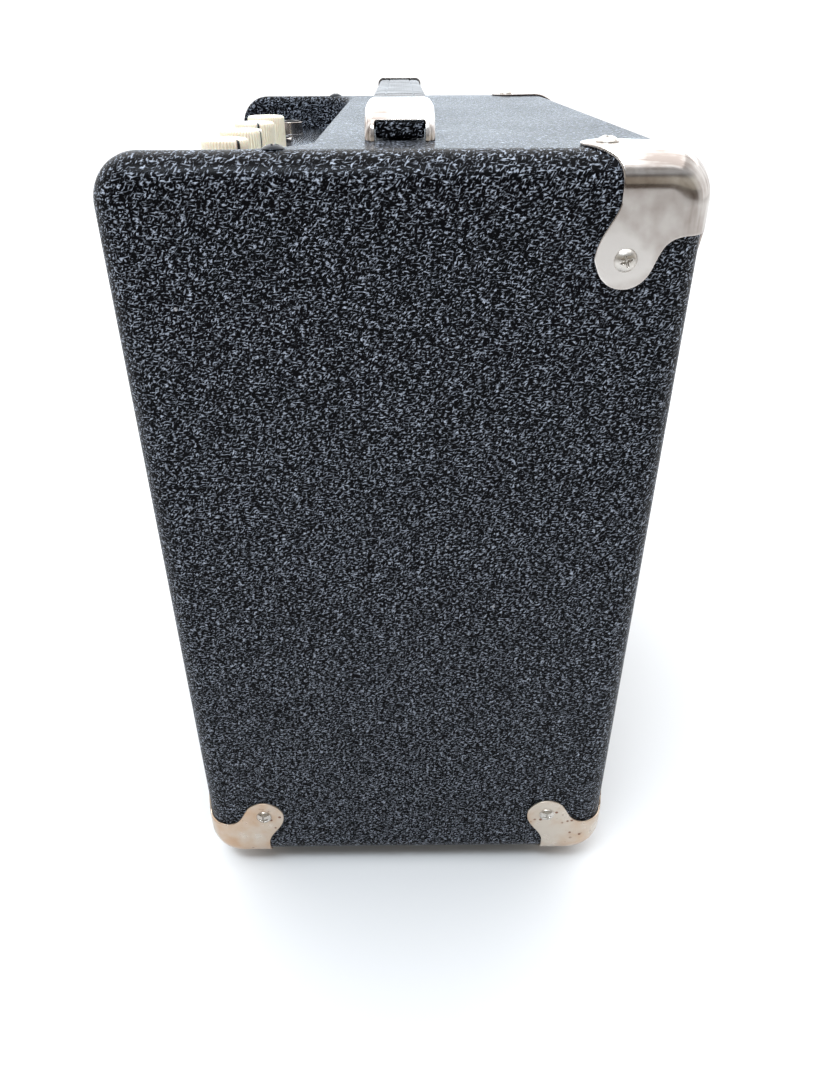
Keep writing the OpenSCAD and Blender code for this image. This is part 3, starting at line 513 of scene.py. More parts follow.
def placed(piece, place, outward=(0, 0, 1), angle=None, size=1.0):
    """A copy of a piece standing at a place, its +Z turned outwards."""
    points, quads, normals = piece
    spin = Matrix.Rotation(turns.uniform(0, math.pi) if angle is None else angle, 3, "Z")
    basis = np.array(Vector(outward).to_track_quat("Z", "Y").to_matrix() @ spin)
    return points * size @ basis.T + np.array(place), quads, normals @ basis.T


def joined(pieces):
    offsets = np.cumsum([0] + [len(p[0]) for p in pieces[:-1]])
    points = np.vstack([p[0] for p in pieces])
    return points, np.vstack([p[1] + o for p, o in zip(pieces, offsets)]), np.vstack([p[2] for p in pieces])


corner_head = screw_head(8.6, 2.2)
heads = []
for sx in (-1, 1):
    face = x_out + sheet_t
    heads.append(placed(corner_head, (sx * face, y_out - 28.6 * mm, top - 34.7 * mm), (sx, 0, 0)))
    heads.append(placed(corner_head, (sx * (x_out - 17 * mm), y_out - 35.6 * mm, top + sheet_t)))
    heads.append(placed(corner_head, (sx * (x_out - 21.5 * mm), y_out + sheet_t, top - 31 * mm), (0, 1, 0)))
    for sy in (-1, 1):
        heads.append(placed(corner_head, (sx * face, sy * (y_out - 31 * mm), bottom + 34 * mm), (sx, 0, 0)))
        heads.append(placed(corner_head,
                            (sx * (x_out - 21.5 * mm), sy * (y_out + sheet_t), bottom + 34 * mm), (0, sy, 0)))
link(mesh_from("corner_screw_heads", *joined(heads)), "corner_screw_heads", replaces=["corner_screws"],
     material=screw_metal, smooth=False)

dome_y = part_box("chassis_screws")[0][1] + 4.4 * mm
dome = screw_head(8.6, 1.6, slot=0.5, deep=0.9)
domes = [placed(dome, (s * (x_out - 13 * mm), dome_y, top)) for s in (-1, 1)]
link(mesh_from("cheek_screw_heads", *joined(domes)), "cheek_screw_heads", replaces=["chassis_screws"],
     material=black_metal, smooth=False)

back_head = screw_head(7.0, 2.0, slot=0.45, deep=0.9)
print("screw heads", len(corner_head[1]), "quads each")

# %% [markdown]
# The handle is a flat strap with a steel strip inside. Its ends run down into two chromed caps,
# each a deep-drawn shell with a rolled frame round its mouth. The cap's side outline steps down
# towards the cabinet's side in three flats, and the field rounds them into one another.

# %% Handle caps
cap_low, cap_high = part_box("handle_cap_right")
cap_in, cap_end = cap_low[0] / mm, cap_high[0] / mm
cap_half = cap_high[1] / mm
cap_rise = (cap_high[2] - top) / mm


def cap_field(p):
    x, y, z = p[0] / mm, p[1] / mm, (p[2] - top) / mm
    slope = (x - cap_end + 16) * 0.2785 + (z - cap_rise) * 0.9604
    nose = (x - cap_end + 6) * 0.745 + (z - 9.7) * 0.667
    outline = cut_round(cut_round(cut_round(z - cap_rise, slope, 3.0), nose, 4.0), x - cap_end, 3.0)
    body = cut_round(outline, np.abs(y) - cap_half, 3.4)
    shell = cut_round(body, -(body + 1.0), 0.25)
    mouth = flat_rect(y, z - 2.9, 9.35, 3.9, 1.0)
    shell = cut_round(shell, -np.maximum(mouth, cap_end - 8 - x), 0.3)
    frame_ring = np.maximum(np.abs(mouth - 0.75) - 0.75, np.maximum(body - 0.55, cap_end - 7 - x))
    shell = join_round(shell, cut_round(frame_ring, -(body + 1.2), 0.3), 0.35)
    return cut_round(np.maximum(shell, cap_in - x), -z, 0.2) * mm


cap = surface(cap_field, ((cap_in - 1) * mm, -(cap_half + 1) * mm, top - mm),
              ((cap_end + 1.5) * mm, (cap_half + 1) * mm, top + (cap_rise + 1) * mm), 0.42 * mm)
for side, sign in (("right", 1), ("left", -1)):
    mesh = mesh_from("handle_cap", *mirrored(*cap, (sign, 1, 1)))
    link(mesh, "chrome_cap_" + side, replaces=["handle_cap_" + side], material=chrome,
         smooth=False)
print("cap", len(cap[1]), "quads")


def tuck_field(p):
    """The strap's end, folded up behind the mouth of the cap."""
    low = ((cap_end - 13) * mm, -9.0 * mm, top + 0.8 * mm)
    high = ((cap_end - 3.2) * mm, 9.0 * mm, top + 6.6 * mm)
    return block(p, low, high, 1.2 * mm)


tuck = surface(tuck_field, ((cap_end - 14) * mm, -10 * mm, top),
               ((cap_end - 2) * mm, 10 * mm, top + 8 * mm), 0.5 * mm)
for side, sign in (("right", 1), ("left", -1)):
    link(mesh_from("strap_tuck", *mirrored(*tuck, (sign, 1, 1))), "strap_tuck_" + side,
         material=vinyl,
         smooth=False)

# %% [markdown]
# The strap is moulded vinyl with a lightly domed top: a finely ribbed middle between two lines,
# and smoother edges. It is one section swept along the strap's own curve, level over the grip
# and easing down into the caps. The grip rides on the handle; the two ends are separate pieces.

# %% Strap
strap_low, strap_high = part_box("handle_grip")
half_w, strap_t = strap_high[1], strap_high[2] - strap_low[2]
flex_x = strap_high[0]
strap_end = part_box("handle_end_right")[1][0]
end_drop = strap_low[2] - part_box("handle_end_right")[0][2]


def strap_section():
    """Half outline of the strap, from the middle of its top to the middle of its underside."""
    edge, dome = 1.9 * mm, 0.5 * mm
    across = np.concatenate([np.arange(0, 5.4, 0.3), [5.45, 5.7, 5.95, 6.2, 6.45],
                             np.arange(6.8, 9.6, 0.4)]) * mm
    rib = np.where(across < 5.3 * mm, 0.05 * mm * (1 - np.cos(across * math.tau / (1.2 * mm))), 0)
    groove = 0.55 * mm * np.exp(-((across - 5.95 * mm) / (0.28 * mm)) ** 2)
    height = strap_t - dome * (across / half_w) ** 2 - groove - rib
    outline = [(a, h) for a, h in zip(across, height)]
    start = strap_t - dome * 0.75
    for k in range(9):
        angle = math.radians(90 - 22.5 * k)
        centre = start - edge if k < 5 else edge
        outline.append((half_w - edge + edge * math.cos(angle), centre + edge * math.sin(angle)))
    outline += [(half_w * f, 0.0) for f in (0.7, 0.35, 0.0)]
    return outline


half_outline = strap_section()
outline = half_outline + [(-a, h) for a, h in half_outline[-2:0:-1]]


def strap_height(x):
    share = np.clip((abs(x) - flex_x) / (cap_in * mm + 6 * mm - flex_x), 0, 1)
    return strap_low[2] - end_drop * share * share * (3 - 2 * share)


def strap_piece(name, xs):
    points = [(x, a, strap_height(x) + h) for x in xs for a, h in outline]
    n = len(outline)
    faces = [(i * n + j, (i + 1) * n + j, (i + 1) * n + (j + 1) % n, i * n + (j + 1) % n)
             for i in range(len(xs) - 1) for j in range(n)]
    faces += [tuple(range(n)), tuple(reversed(range((len(xs) - 1) * n, len(xs) * n)))]
    return mesh_of(name, points, faces)


strap = Finish("strap vinyl", (0.045, 0.048, 0.053), 0.42)
strap_grain = strap.noise(900.0, 3.0, strap.stretch((0.25, 1, 1)))
strap.set("Roughness", strap.ramp(strap.noise(70.0, 3.0), 0.3, 0.7, 0.34, 0.52))
strap.set("Base Color",
          strap.blend(strap.ramp(strap.noise(35.0, 4.0), 0.35, 0.7), (0.040, 0.043, 0.048),
                      (0.066, 0.070, 0.078)))
strap.bump(strap_grain, 0.00012, 0.6)
strap = strap.material
grip = strap_piece("strap_grip", np.linspace(-flex_x, flex_x, 31))
link(grip, "strap_grip", body="handle", replaces=["handle_grip"], material=strap)
for side, sign in (("right", 1), ("left", -1)):
    xs = np.linspace(flex_x, strap_end, 40)
    end = strap_piece("strap_end_" + side, xs if sign > 0 else -xs[::-1])
    end = link(end, "strap_end_" + side, body=None, replaces=["handle_end_" + side],
               material=strap)
    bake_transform(end)

# The steel strip shows only as the strap's core, so it is kept thin and bends with it.
strip_x = np.linspace(-strap_end, strap_end, 61)
strip_points, strip_faces = [], []
for x in strip_x:
    middle = strap_height(x) + strap_t / 2
    strip_points += [(x, s * 6.5 * mm, middle + t * 0.5 * mm) for s,
                     t in ((-1, -1), (1, -1), (1, 1), (-1, 1))]
for i in range(len(strip_x) - 1):
    strip_faces += [(4 * i + j, 4 * i + 4 + j, 4 * i + 4 + (j + 1) % 4, 4 * i + (j + 1) % 4)
                    for j in range(4)]
steel_strip = Finish("spring steel", (0.42, 0.43, 0.45), 0.3, 1.0)
steel_strip.bump(steel_strip.noise(600.0, 2.0, steel_strip.stretch((0.1, 1, 1))), 0.00004, 0.5)
for name, keep_x, body in (("strip_middle", (-flex_x, flex_x), "handle"), ("strip_right", (flex_x, 1), None),
                           ("strip_left", (-1, -flex_x), None)):
    inside = [i for i, x in enumerate(strip_x[:-1])
              if keep_x[0] - 1e-4 <= x and strip_x[i + 1] <= keep_x[1] + 2e-3]
    faces = [f for i in inside for f in strip_faces[4 * i:4 * i + 4]]
    mesh = mesh_of(name, strip_points, faces)
    strip = link(mesh, name, body=body, material=steel_strip.material, smooth=False)
    if body:
        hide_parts("handle_spring")
    else:
        sign = 1 if name == "strip_right" else -1
        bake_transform(strip)

# %% [markdown]
# Each knob is moulded in ivory plastic: a plain fluted drum with a flat top. The flutes are cut
# as a wave in the radius, so every ring of the lathe carries 44 of them. A black pointer
# line is moulded into the side and the top.

# %% Knobs
knob_low, knob_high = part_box("knob_1")
knob_r = (knob_high[0] - knob_low[0]) / 2
knob_z = (knob_low[2], knob_high[2])
shaft_hole = 7.7 * mm
flutes, per_flute = 44, 10


def knob_piece(centre):
    count = flutes * per_flute
    angle = np.arange(count) * math.tau / count
    phase = np.cos(angle * flutes)
    cut = 0.7 * mm * np.clip(0.45 + 0.75 * phase, 0, 1)
    low, high = knob_z
    rows = [(shaft_hole, low + 6 * mm, 0), (shaft_hole, low, 0), (knob_r - 0.5 * mm, low, 0.7),
            (knob_r - 0.1 * mm, low + 0.25 * mm, 1),
            (knob_r, low + 0.7 * mm, 1), (knob_r, high - 1.3 * mm, 1),
            (knob_r - 0.06 * mm, high - 0.95 * mm, 1),
            (knob_r - 0.25 * mm, high - 0.55 * mm, 0.8), (knob_r - 0.55 * mm, high - 0.22 * mm, 0.45),
            (knob_r - 0.95 * mm, high - 0.05 * mm, 0.15), (knob_r - 1.4 * mm, high, 0),
            (knob_r - 3.4 * mm, high, 0),
            (knob_r - 3.8 * mm, high - 0.14 * mm, 0), (knob_r - 6 * mm, high - 0.2 * mm, 0),
            (0.4 * mm, high - 0.2 * mm, 0)]
    points = []
    for radius, z, depth in rows:
        r = radius - cut * depth
        points += [(centre[0] + a, centre[1] + b, z) for a, b in zip(r * np.cos(angle), r * np.sin(angle))]
    faces = [(i * count + j, i * count + (j + 1) % count, (i + 1) * count + (j + 1) % count,
              (i + 1) * count + j)
             for i in range(len(rows) - 1) for j in range(count)]
    faces.append(tuple((len(rows) - 1) * count + j for j in range(count)))
    return mesh_of("knob", points, faces)


ivory = Finish("ivory plastic", (0.88, 0.80, 0.64), 0.32, Subsurface_Weight=0.12, Subsurface_Scale=0.004,
               Specular_IOR_Level=0.5)
grime = ivory.ramp(ivory.noise(160.0, 4.0), 0.3, 0.75)
ivory.set("Base Color", ivory.blend(grime, (0.91, 0.85, 0.71), (0.82, 0.73, 0.56)))
ivory.set("Roughness", ivory.ramp(ivory.noise(300.0, 3.0), 0.3, 0.7, 0.24, 0.42))
ivory.bump(ivory.noise(450.0, 3.0), 0.00006, 0.4)
ivory = ivory.material
pointer_black = Finish("pointer paint", (0.012, 0.012, 0.012), 0.4)
pointer_black.bump(pointer_black.noise(500.0), 0.00004, 0.4)
pointer_black = pointer_black.material
pointer_angle = [math.radians(a) for a in (45, 72, 20, 100)]


def pointer_piece(centre, angle):
    """A thin black strip up the knob's side and in over its top."""
    out, high = knob_r + 0.05 * mm, knob_z[1]
    path = [(out, knob_z[0] + 0.5 * mm), (out, high - 1.2 * mm), (out - 0.3 * mm, high - 0.45 * mm),
            (out - 1.0 * mm, high + 0.03 * mm), (out - 1.5 * mm, high + 0.06 * mm),
            (out - 3.3 * mm, high + 0.06 * mm)]
    half, points = 0.42 * mm, []
    for r, z in path:
        points += [(r, s * half, z) for s in (-1, 1)] + [(r - 0.6 * mm, s * half, z - 0.3 * mm)
                                                         for s in (1, -1)]
    spin = np.array(Matrix.Rotation(angle, 3, "Z"))
    points = np.array(points) @ spin.T + np.array([centre[0], centre[1], 0])
    faces = [(4 * i + j, 4 * i + (j + 1) % 4, 4 * i + 4 + (j + 1) % 4, 4 * i + 4 + j)
             for i in range(len(path) - 1) for j in range(4)]
    faces += [(3, 2, 1, 0), tuple(4 * len(path) - 4 + j for j in range(4))]
    return mesh_of("pointer", points, faces)


for i in range(4):
    low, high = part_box(f"knob_{i + 1}")
    centre = ((low[0] + high[0]) / 2, (low[1] + high[1]) / 2)
    body = f"knob_{i + 1}"
    link(knob_piece(centre), f"fluted_knob_{i + 1}", body=body, replaces=[body], material=ivory)
    link(pointer_piece(centre, pointer_angle[i]), f"pointer_{i + 1}", body=body, material=pointer_black,
         smooth=False)

# %% [markdown]
# The control panel is a polished plate with a rolled front lip, screwed down in the well. Fine
# brushing runs along it. Short black ticks are printed round each knob. Seven round holes let the
# pot bushings, the two jacks and the lamp through. They sit on those pieces' own axes.

# %% Control panel
panel_metal = Finish("panel metal", (0.52, 0.57, 0.64), 0.2, 1.0)
brushed = panel_metal.noise(1400.0, 2.0, panel_metal.stretch((0.03, 1, 1)))
panel_metal.set("Roughness", panel_metal.ramp(brushed, 0.3, 0.7, 0.12, 0.20))
panel_metal.set("Base Color", panel_metal.blend(panel_metal.ramp(panel_metal.noise(25.0, 4.0), 0.3, 0.7),
                                                (0.50, 0.55, 0.62), (0.60, 0.64, 0.70)))
panel_metal.bump(panel_metal.noise(60.0, 2.0), 0.00004, 0.2)
panel_metal = panel_metal.material


pot_hole_r, jack_hole_r = 4.8 * mm, 5.8 * mm
holes = [(*np.mean(extent(f"pot_shaft_{i + 1}"), axis=0)[:2], pot_hole_r) for i in range(4)]
row_y = holes[0][1]
holes += [(np.mean(extent(node), axis=0)[0], row_y, jack_hole_r)
          for node in ("input_jack", "phones_jack", "pilot_lamp")]
print("panel holes at", [round(float(x) * 1000, 1) for x, _, _ in holes], "mm")


def panel_field(p):
    x, y, z = p
    gap = 0.3 * mm
    u, v = np.abs(x) - (lined_x - recess_r), y - (recess_y - recess_r)
    plan = np.hypot(np.maximum(u, 0), np.maximum(v, 0)) + np.minimum(np.maximum(u, v), 0) - recess_r + gap
    sheet = np.maximum(z - panel_top, panel_low[1] - y)
    inner = np.maximum(z - panel_top + panel_t, panel_low[1] + panel_t - y)
    rolled = cut_round(z - panel_top, panel_low[1] - y, 2.2 * mm)
    bent = np.maximum(rolled, -cut_round(inner, inner, 0.8 * mm))
    solid = np.maximum(np.maximum(bent, sheet), np.maximum(plan, panel_low[2] - z))
    for hole_x, hole_y, r in holes:
        solid = np.maximum(solid, r - np.hypot(x - hole_x, y - hole_y))
    return solid


panel_t = panel_top - seat
plate = surface(panel_field, extent("control_panel")[0] - 2 * mm, extent("control_panel")[1] + 2 * mm,
                1.0 * mm)
link(mesh_from("polished_panel", *plate), "polished_panel", replaces=["control_panel"],
     material=panel_metal, smooth=False)
print("panel", len(plate[1]), "quads")

tick_ink = Finish("panel print", (0.015, 0.015, 0.017), 0.45)
tick_ink.bump(tick_ink.noise(800.0), 0.00002, 0.4)
ticks, tick_faces = [], []
for i in range(4):
    low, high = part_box(f"knob_{i + 1}")
    cx, cy = (low[0] + high[0]) / 2, (low[1] + high[1]) / 2
    for k in range(11):
        angle = math.radians(-60 + 30 * k)
        out, side = np.array([math.cos(angle), math.sin(angle)]), np.array([-math.sin(angle),
                                                                            math.cos(angle)])
        for r, s in ((11.2, -0.25), (13.2, -0.25), (13.2, 0.25), (11.2, 0.25)):
            ticks.append((cx + (out[0] * r + side[0] * s) * mm, cy + (out[1] * r + side[1] * s) * mm,
                          panel_top + 0.06 * mm))
        tick_faces.append(tuple(range(len(ticks) - 4, len(ticks))))
link(mesh_of("panel_ticks", ticks, tick_faces), "panel_ticks", material=tick_ink.material, smooth=False)

# %% [markdown]
# Nuts are turned from hexagon bar: flat sides, a chamfered top and a thread showing in the bore.
# The input jack has a tall round collar instead. Each is one lathe shape with six or many sides,
# and its edges are rounded by the field.

# %% Nuts and jack collars
def nut_field(centre, across, hole, low, high, six=True):
    def field(p):
        x, y, z = (p[0] - centre[0]) / mm, (p[1] - centre[1]) / mm, (p[2] - low) / mm
        tall = (high - low) / mm
        if six:
            flats = [np.abs(x * math.cos(a) + y * math.sin(a))
                     for a in (math.pi / 6, math.pi / 2, 5 * math.pi / 6)]
            wall = np.maximum(np.maximum(flats[0], flats[1]), flats[2]) - across / 2
        else:
            wall = np.hypot(x, y) - across / 2
        cone = (np.hypot(x, y) - across / 2 - 0.1 + (z - tall) * 1.2) * 0.64
        body = cut_round(np.maximum(wall, cone), np.maximum(z - tall, -z), 0.3)
        return cut_round(body, -(np.hypot(x, y) - hole / 2), 0.3) * mm
    reach = across * 0.6 * mm
    return surface(field, (centre[0] - reach, centre[1] - reach, low - 0.5 * mm),
                   (centre[0] + reach, centre[1] + reach, high + 0.5 * mm), 0.32 * mm)


phones_low, phones_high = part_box("phones_jack")
input_low, input_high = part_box("input_jack")
knob_y = (knob_low[1] + knob_high[1]) / 2
nuts = [nut_field(((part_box(f"knob_{i}")[0][0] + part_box(f"knob_{i}")[1][0]) / 2, knob_y), 12, 9,
                  panel_top, panel_top + 2.2 * mm)
        for i in range(1, 5)]
nuts.append(nut_field(((phones_low[0] + phones_high[0]) / 2, knob_y), 14, 10.9, panel_top,
                      panel_top + 3 * mm))
nuts.append(nut_field(((input_low[0] + input_high[0]) / 2, knob_y), 15, 10.9, panel_top,
                      panel_top + 7 * mm, six=False))
link(mesh_from("chrome_nuts", *joined(nuts)), "chrome_nuts", replaces=["panel_nuts"],
     material=chrome,
     smooth=False)

# %% [markdown]
# The grille cloth is woven from thick brown-grey and pale threads with a fleck of silver. The
# weave is drawn in the material: two crossing waves make the threads, and the bump lifts each one
# where it passes over. The cloth is pulled tight over its frame, so it is a flat stretched sheet.

# %% Grille cloth
cloth = Finish("grille cloth", (0.30, 0.28, 0.24), 0.85, Sheen_Weight=0.25)
weave_pitch = 1.3 * mm
where = cloth.add("ShaderNodeSeparateXYZ", {"Vector": cloth.place})
across = cloth.maths("MULTIPLY", where.outputs["X"], math.tau / weave_pitch)
along = cloth.maths("MULTIPLY", where.outputs["Z"], math.tau / weave_pitch)
warp = cloth.maths("ABSOLUTE", cloth.maths("SINE", across, 0.0), 0.0)
weft = cloth.maths("ABSOLUTE", cloth.maths("SINE", along, 0.0), 0.0)
crossing = cloth.maths("MULTIPLY", cloth.maths("SINE", cloth.maths("MULTIPLY", across, 0.5), 0.0),
                       cloth.maths("SINE", cloth.maths("MULTIPLY", along, 0.5), 0.0))
over = cloth.ramp(crossing, -0.15, 0.15)
thread = cloth.maths("MULTIPLY", warp, weft)
fibre = cloth.noise(3500.0, 2.0)
dark = cloth.blend(fibre, (0.055, 0.045, 0.035), (0.16, 0.135, 0.105))
pale = cloth.blend(fibre, (0.36, 0.33, 0.27), (0.62, 0.58, 0.50))
cloth.set("Base Color", cloth.blend(over, dark, pale))
cloth.bump(cloth.maths("ADD", thread, cloth.maths("MULTIPLY", fibre, 0.3)), 0.0004, 0.9)


front = cloth_low[1]
cloth_nx, cloth_nz = 62, 50   # points across and up
xs = np.linspace(cloth_low[0], cloth_high[0], cloth_nx)
zs = np.linspace(cloth_low[2], cloth_high[2], cloth_nz)
sag = np.random.default_rng(4).normal(0, 0.00004, (len(xs), len(zs)))
points = [(x, front + 0.0002 + sag[i, j], z) for i, x in enumerate(xs) for j, z in enumerate(zs)]
corners = ((0, 0), (1, 0), (1, 1), (0, 1))
faces = [tuple((i + a) * cloth_nz + j + b for a, b in corners) for i in range(cloth_nx - 1)
         for j in range(cloth_nz - 1)]
cloth_piece = link(mesh_of("woven_cloth", points, faces), "woven_cloth", replaces=["grille_cloth"],
                   material=cloth.material)

# %% [markdown]
# A round ivory piping runs round the grille, hiding the cut edge of the cloth. It is one soft
# tube with rounded corners: the field of a frame line, 1.8 mm round.

# %% Piping
pipe_low, pipe_high = extent("grille_piping")
pipe_r = 1.75 * mm
piping = Finish("ivory piping", (0.72, 0.66, 0.52), 0.38, Specular_IOR_Level=0.5)
piping.set("Base Color",
           piping.blend(piping.ramp(piping.noise(90.0, 4.0), 0.3, 0.7), (0.74, 0.68, 0.54),
                        (0.62, 0.55, 0.41)))
piping.bump(piping.noise(500.0, 3.0), 0.00012, 0.5)


def pipe_field(p):
    x, y, z = p
    half_x, half_z = pipe_high[0] - pipe_r, (pipe_high[2] - pipe_low[2]) / 2 - pipe_r
    line = flat_rect(x, z - (pipe_low[2] + pipe_high[2]) / 2, half_x, half_z, 4 * mm)
    return np.hypot(line, y - (pipe_low[1] + pipe_high[1]) / 2) - pipe_r


pipe = surface(pipe_field, pipe_low - mm, pipe_high + mm, 1.0 * mm)
link(mesh_from("round_piping", *pipe), "round_piping", replaces=["grille_piping"],
     material=piping.material, smooth=False)
print("piping", len(pipe[1]), "quads")

# %% [markdown]
# The two back panels are boards wrapped in the same vinyl, so their edges are rounded like the
# cabinet's. The upper one has a window for the mains inlet, the rocker and the loudspeaker jack.

# %% Back panels
window_x, window_z = (-132 * mm, 78 * mm), (306.8 * mm, 345.8 * mm)   # opening for the sockets
for part in ("upper", "lower"):
    low, high = extent("back_panel_" + part)

    def panel_board(p, low=low, high=high, part=part):
        body = block(p, low, high, 2.0 * mm)
        if part == "upper":
            hole = block(p, (window_x[0], low[1] - far, window_z[0]),
                         (window_x[1], high[1] + far, window_z[1]), 3 * mm)
            body = cut_round(body, -hole, 2.0 * mm)
        return body
    board = surface(panel_board, low - 2 * mm, high + 2 * mm, 1.5 * mm)
    link(mesh_from("vinyl_back_" + part, *board), "vinyl_back_" + part, replaces=["back_panel_" + part],
         material=vinyl, smooth=False)
back_high = extent("back_panel_screws")[1]
low_low, low_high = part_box("back_panel_lower")
up_low, chassis_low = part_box("back_panel_upper")[0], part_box("chassis_walls")[0]
back_z = (low_low[2] + 34 * mm, low_high[2] - 14 * mm, up_low[2] + 14 * mm, chassis_low[2] - 4 * mm)
heads = [placed(back_head, (s * (back_high[0] - 3.5 * mm), low_high[1], z), (0, 1, 0)) for s in (-1, 1)
         for z in back_z]
link(mesh_from("back_screw_heads", *joined(heads)), "back_screw_heads", replaces=["back_panel_screws"],
     material=black_metal, smooth=False)
# %% [markdown]
# The pieces that keep their CAD shape get finishes of their own. The boards are plywood: pale
# faces with long grain, and dark and light plies on the cut edges. Each board takes its plies
# along its own thickness.

# %% Wood and painted board
def dress(finish, *nodes):
    """Give CAD nodes a finish in place of their plain one."""
    for node in nodes:
        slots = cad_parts[node].data.materials
        for i in range(len(slots)):
            slots[i] = finish


def plywood(name, axis, grain_axis):
    w = Finish(name, (0.55, 0.38, 0.20), 0.62)
    scale = [60.0, 60.0, 60.0]
    scale[grain_axis] = 3.0
    grain = w.noise(4.0, 5.0, w.stretch(scale), 0.6)
    face = w.blend(w.ramp(grain, 0.3, 0.7), (0.60, 0.43, 0.24), (0.42, 0.27, 0.135))
    along = w.add("ShaderNodeSeparateXYZ", {"Vector": w.place}).outputs["XYZ"[axis]]
    ply = w.ramp(w.maths("SINE", w.maths("MULTIPLY", along, math.tau / (3.0 * mm)), 0.0), -0.1, 0.1)
    normal = w.add("ShaderNodeNewGeometry").outputs["Normal"]
    facing = w.add("ShaderNodeSeparateXYZ", {"Vector": normal}).outputs["XYZ"[axis]]
    edge = w.ramp(w.maths("ABSOLUTE", facing, 0.0), 0.8, 0.5)
    plies = w.blend(ply, (0.30, 0.18, 0.09), (0.58, 0.42, 0.24))
    w.set("Base Color", w.blend(edge, face, plies))
    w.set("Roughness", w.ramp(grain, 0.3, 0.7, 0.5, 0.72))
    w.bump(grain, 0.0002, 0.6)
    return w.material


dress(plywood("side plywood", 0, 2), "side_board_left", "side_board_right")
dress(plywood("flat plywood", 2, 0), "top_board", "bottom_board")
dress(plywood("upright plywood", 1, 0), "front_rails", "cleats")
painted = Finish("black painted board", (0.018, 0.017, 0.016), 0.75)
painted_grain = painted.noise(5.0, 4.0, painted.stretch((6, 60, 60)))
painted.set("Roughness", painted.ramp(painted_grain, 0.3, 0.7, 0.6, 0.85))
painted.bump(painted_grain, 0.0002, 0.6)
dress(painted.material, "baffle_board", "grille_frame")

# %% [markdown]
# Rubber, plated steel, green laminate, ceramic, ferrite and black plastic follow. Each has its
# own fine texture and its own wear: dust on the rubber, a bloom on the zinc, a matt skin on the
# moulded plastic.

# %% Plain materials of the inside
def plain(name, colour, other, low, high, scale=80.0, metallic=0.0, relief=0.0001, stretch=(1, 1, 1),
          **sockets):
    f = Finish(name, colour, low, metallic, **sockets)
    pattern = f.noise(scale, 4.0, f.stretch(stretch))
    f.set("Base Color", f.blend(f.ramp(pattern, 0.32, 0.68), colour, other))
    f.set("Roughness", f.ramp(f.noise(scale * 2.3, 3.0), 0.3, 0.7, low, high))
    f.bump(f.noise(scale * 7, 2.0, f.stretch(stretch)), relief, 0.6)
    return f.material


rubber = plain("rubber", (0.014, 0.014, 0.014), (0.035, 0.034, 0.032), 0.62, 0.85)
zinc = plain("zinc plate", (0.52, 0.53, 0.52), (0.62, 0.60, 0.52), 0.28, 0.46, 35.0, 1.0, 0.00005)
laminate = plain("green laminate", (0.03, 0.12, 0.055), (0.045, 0.17, 0.075), 0.3, 0.45, 200.0, 0.0, 0.00006)
ceramic = plain("ceramic", (0.78, 0.75, 0.68), (0.66, 0.62, 0.54), 0.2, 0.35, 120.0, 0.0, 0.00004)
ferrite = plain("ferrite", (0.022, 0.023, 0.025), (0.045, 0.045, 0.047), 0.5, 0.75, 150.0, 0.0, 0.00015)
grey_paint = plain("grey paint", (0.16, 0.165, 0.17), (0.22, 0.225, 0.23), 0.32, 0.5, 60.0, 0.3, 0.00012)
black_plastic = plain("black plastic", (0.014, 0.014, 0.015), (0.024, 0.024, 0.025), 0.36, 0.55, 250.0,
                      0.0, 0.00008)
red_plastic = plain("red plastic", (0.42, 0.012, 0.010), (0.30, 0.008, 0.008), 0.2, 0.34, 90.0, 0.0, 0.00004)
copper = plain("copper winding", (0.60, 0.25, 0.12), (0.42, 0.15, 0.06), 0.25, 0.4, 300.0, 1.0, 0.0001,
               (1, 8, 1))
dress(rubber, "rubber_feet")
dress(zinc, "chassis", "chassis_walls", "chassis_rear", "potentiometers", "pot_shaft_1", "pot_shaft_2",
      "pot_shaft_3", "pot_shaft_4")
dress(screw_metal, "foot_screws")
dress(black_metal, "speaker_bolts", "handle_screws")
dress(ceramic, "valve_sockets")
dress(laminate, "circuit_board")
dress(grey_paint, "speaker_basket", "speaker_rim")
dress(ferrite, "speaker_magnet")
dress(black_plastic, "input_jack", "phones_jack", "speaker_jack", "mains_inlet")
dress(red_plastic, "power_rocker")
dress(copper, "voice_coil")

# %% [markdown]
# A transformer is a stack of thin steel laminations round a taped winding. The laminations show
# as fine lines on the stack's edges.

# %% Transformers
core = Finish("laminations", (0.05, 0.052, 0.056), 0.42, 0.7)
lines = core.add("ShaderNodeSeparateXYZ", {"Vector": core.place}).outputs["Y"]
lines = core.maths("SINE", core.maths("MULTIPLY", lines, math.tau / (0.8 * mm)), 0.0)
core.set("Base Color",
         core.blend(core.ramp(core.noise(50.0, 4.0), 0.3, 0.7), (0.045, 0.047, 0.05), (0.085, 0.075, 0.065)))
core.bump(lines, 0.0001, 0.8)
dress(core.material, "transformers")


# %% [markdown]
# Turned and pressed round parts are lathe shapes: a profile of radius and height spun about an
# axis. The loudspeaker's cone is pressed paper with shallow rings, its edge is a doped roll of
# cloth, and its spider is a corrugated disc. The edge and the spider are each cut into wedges,
# and every wedge is a separate piece between the basket and the cone.

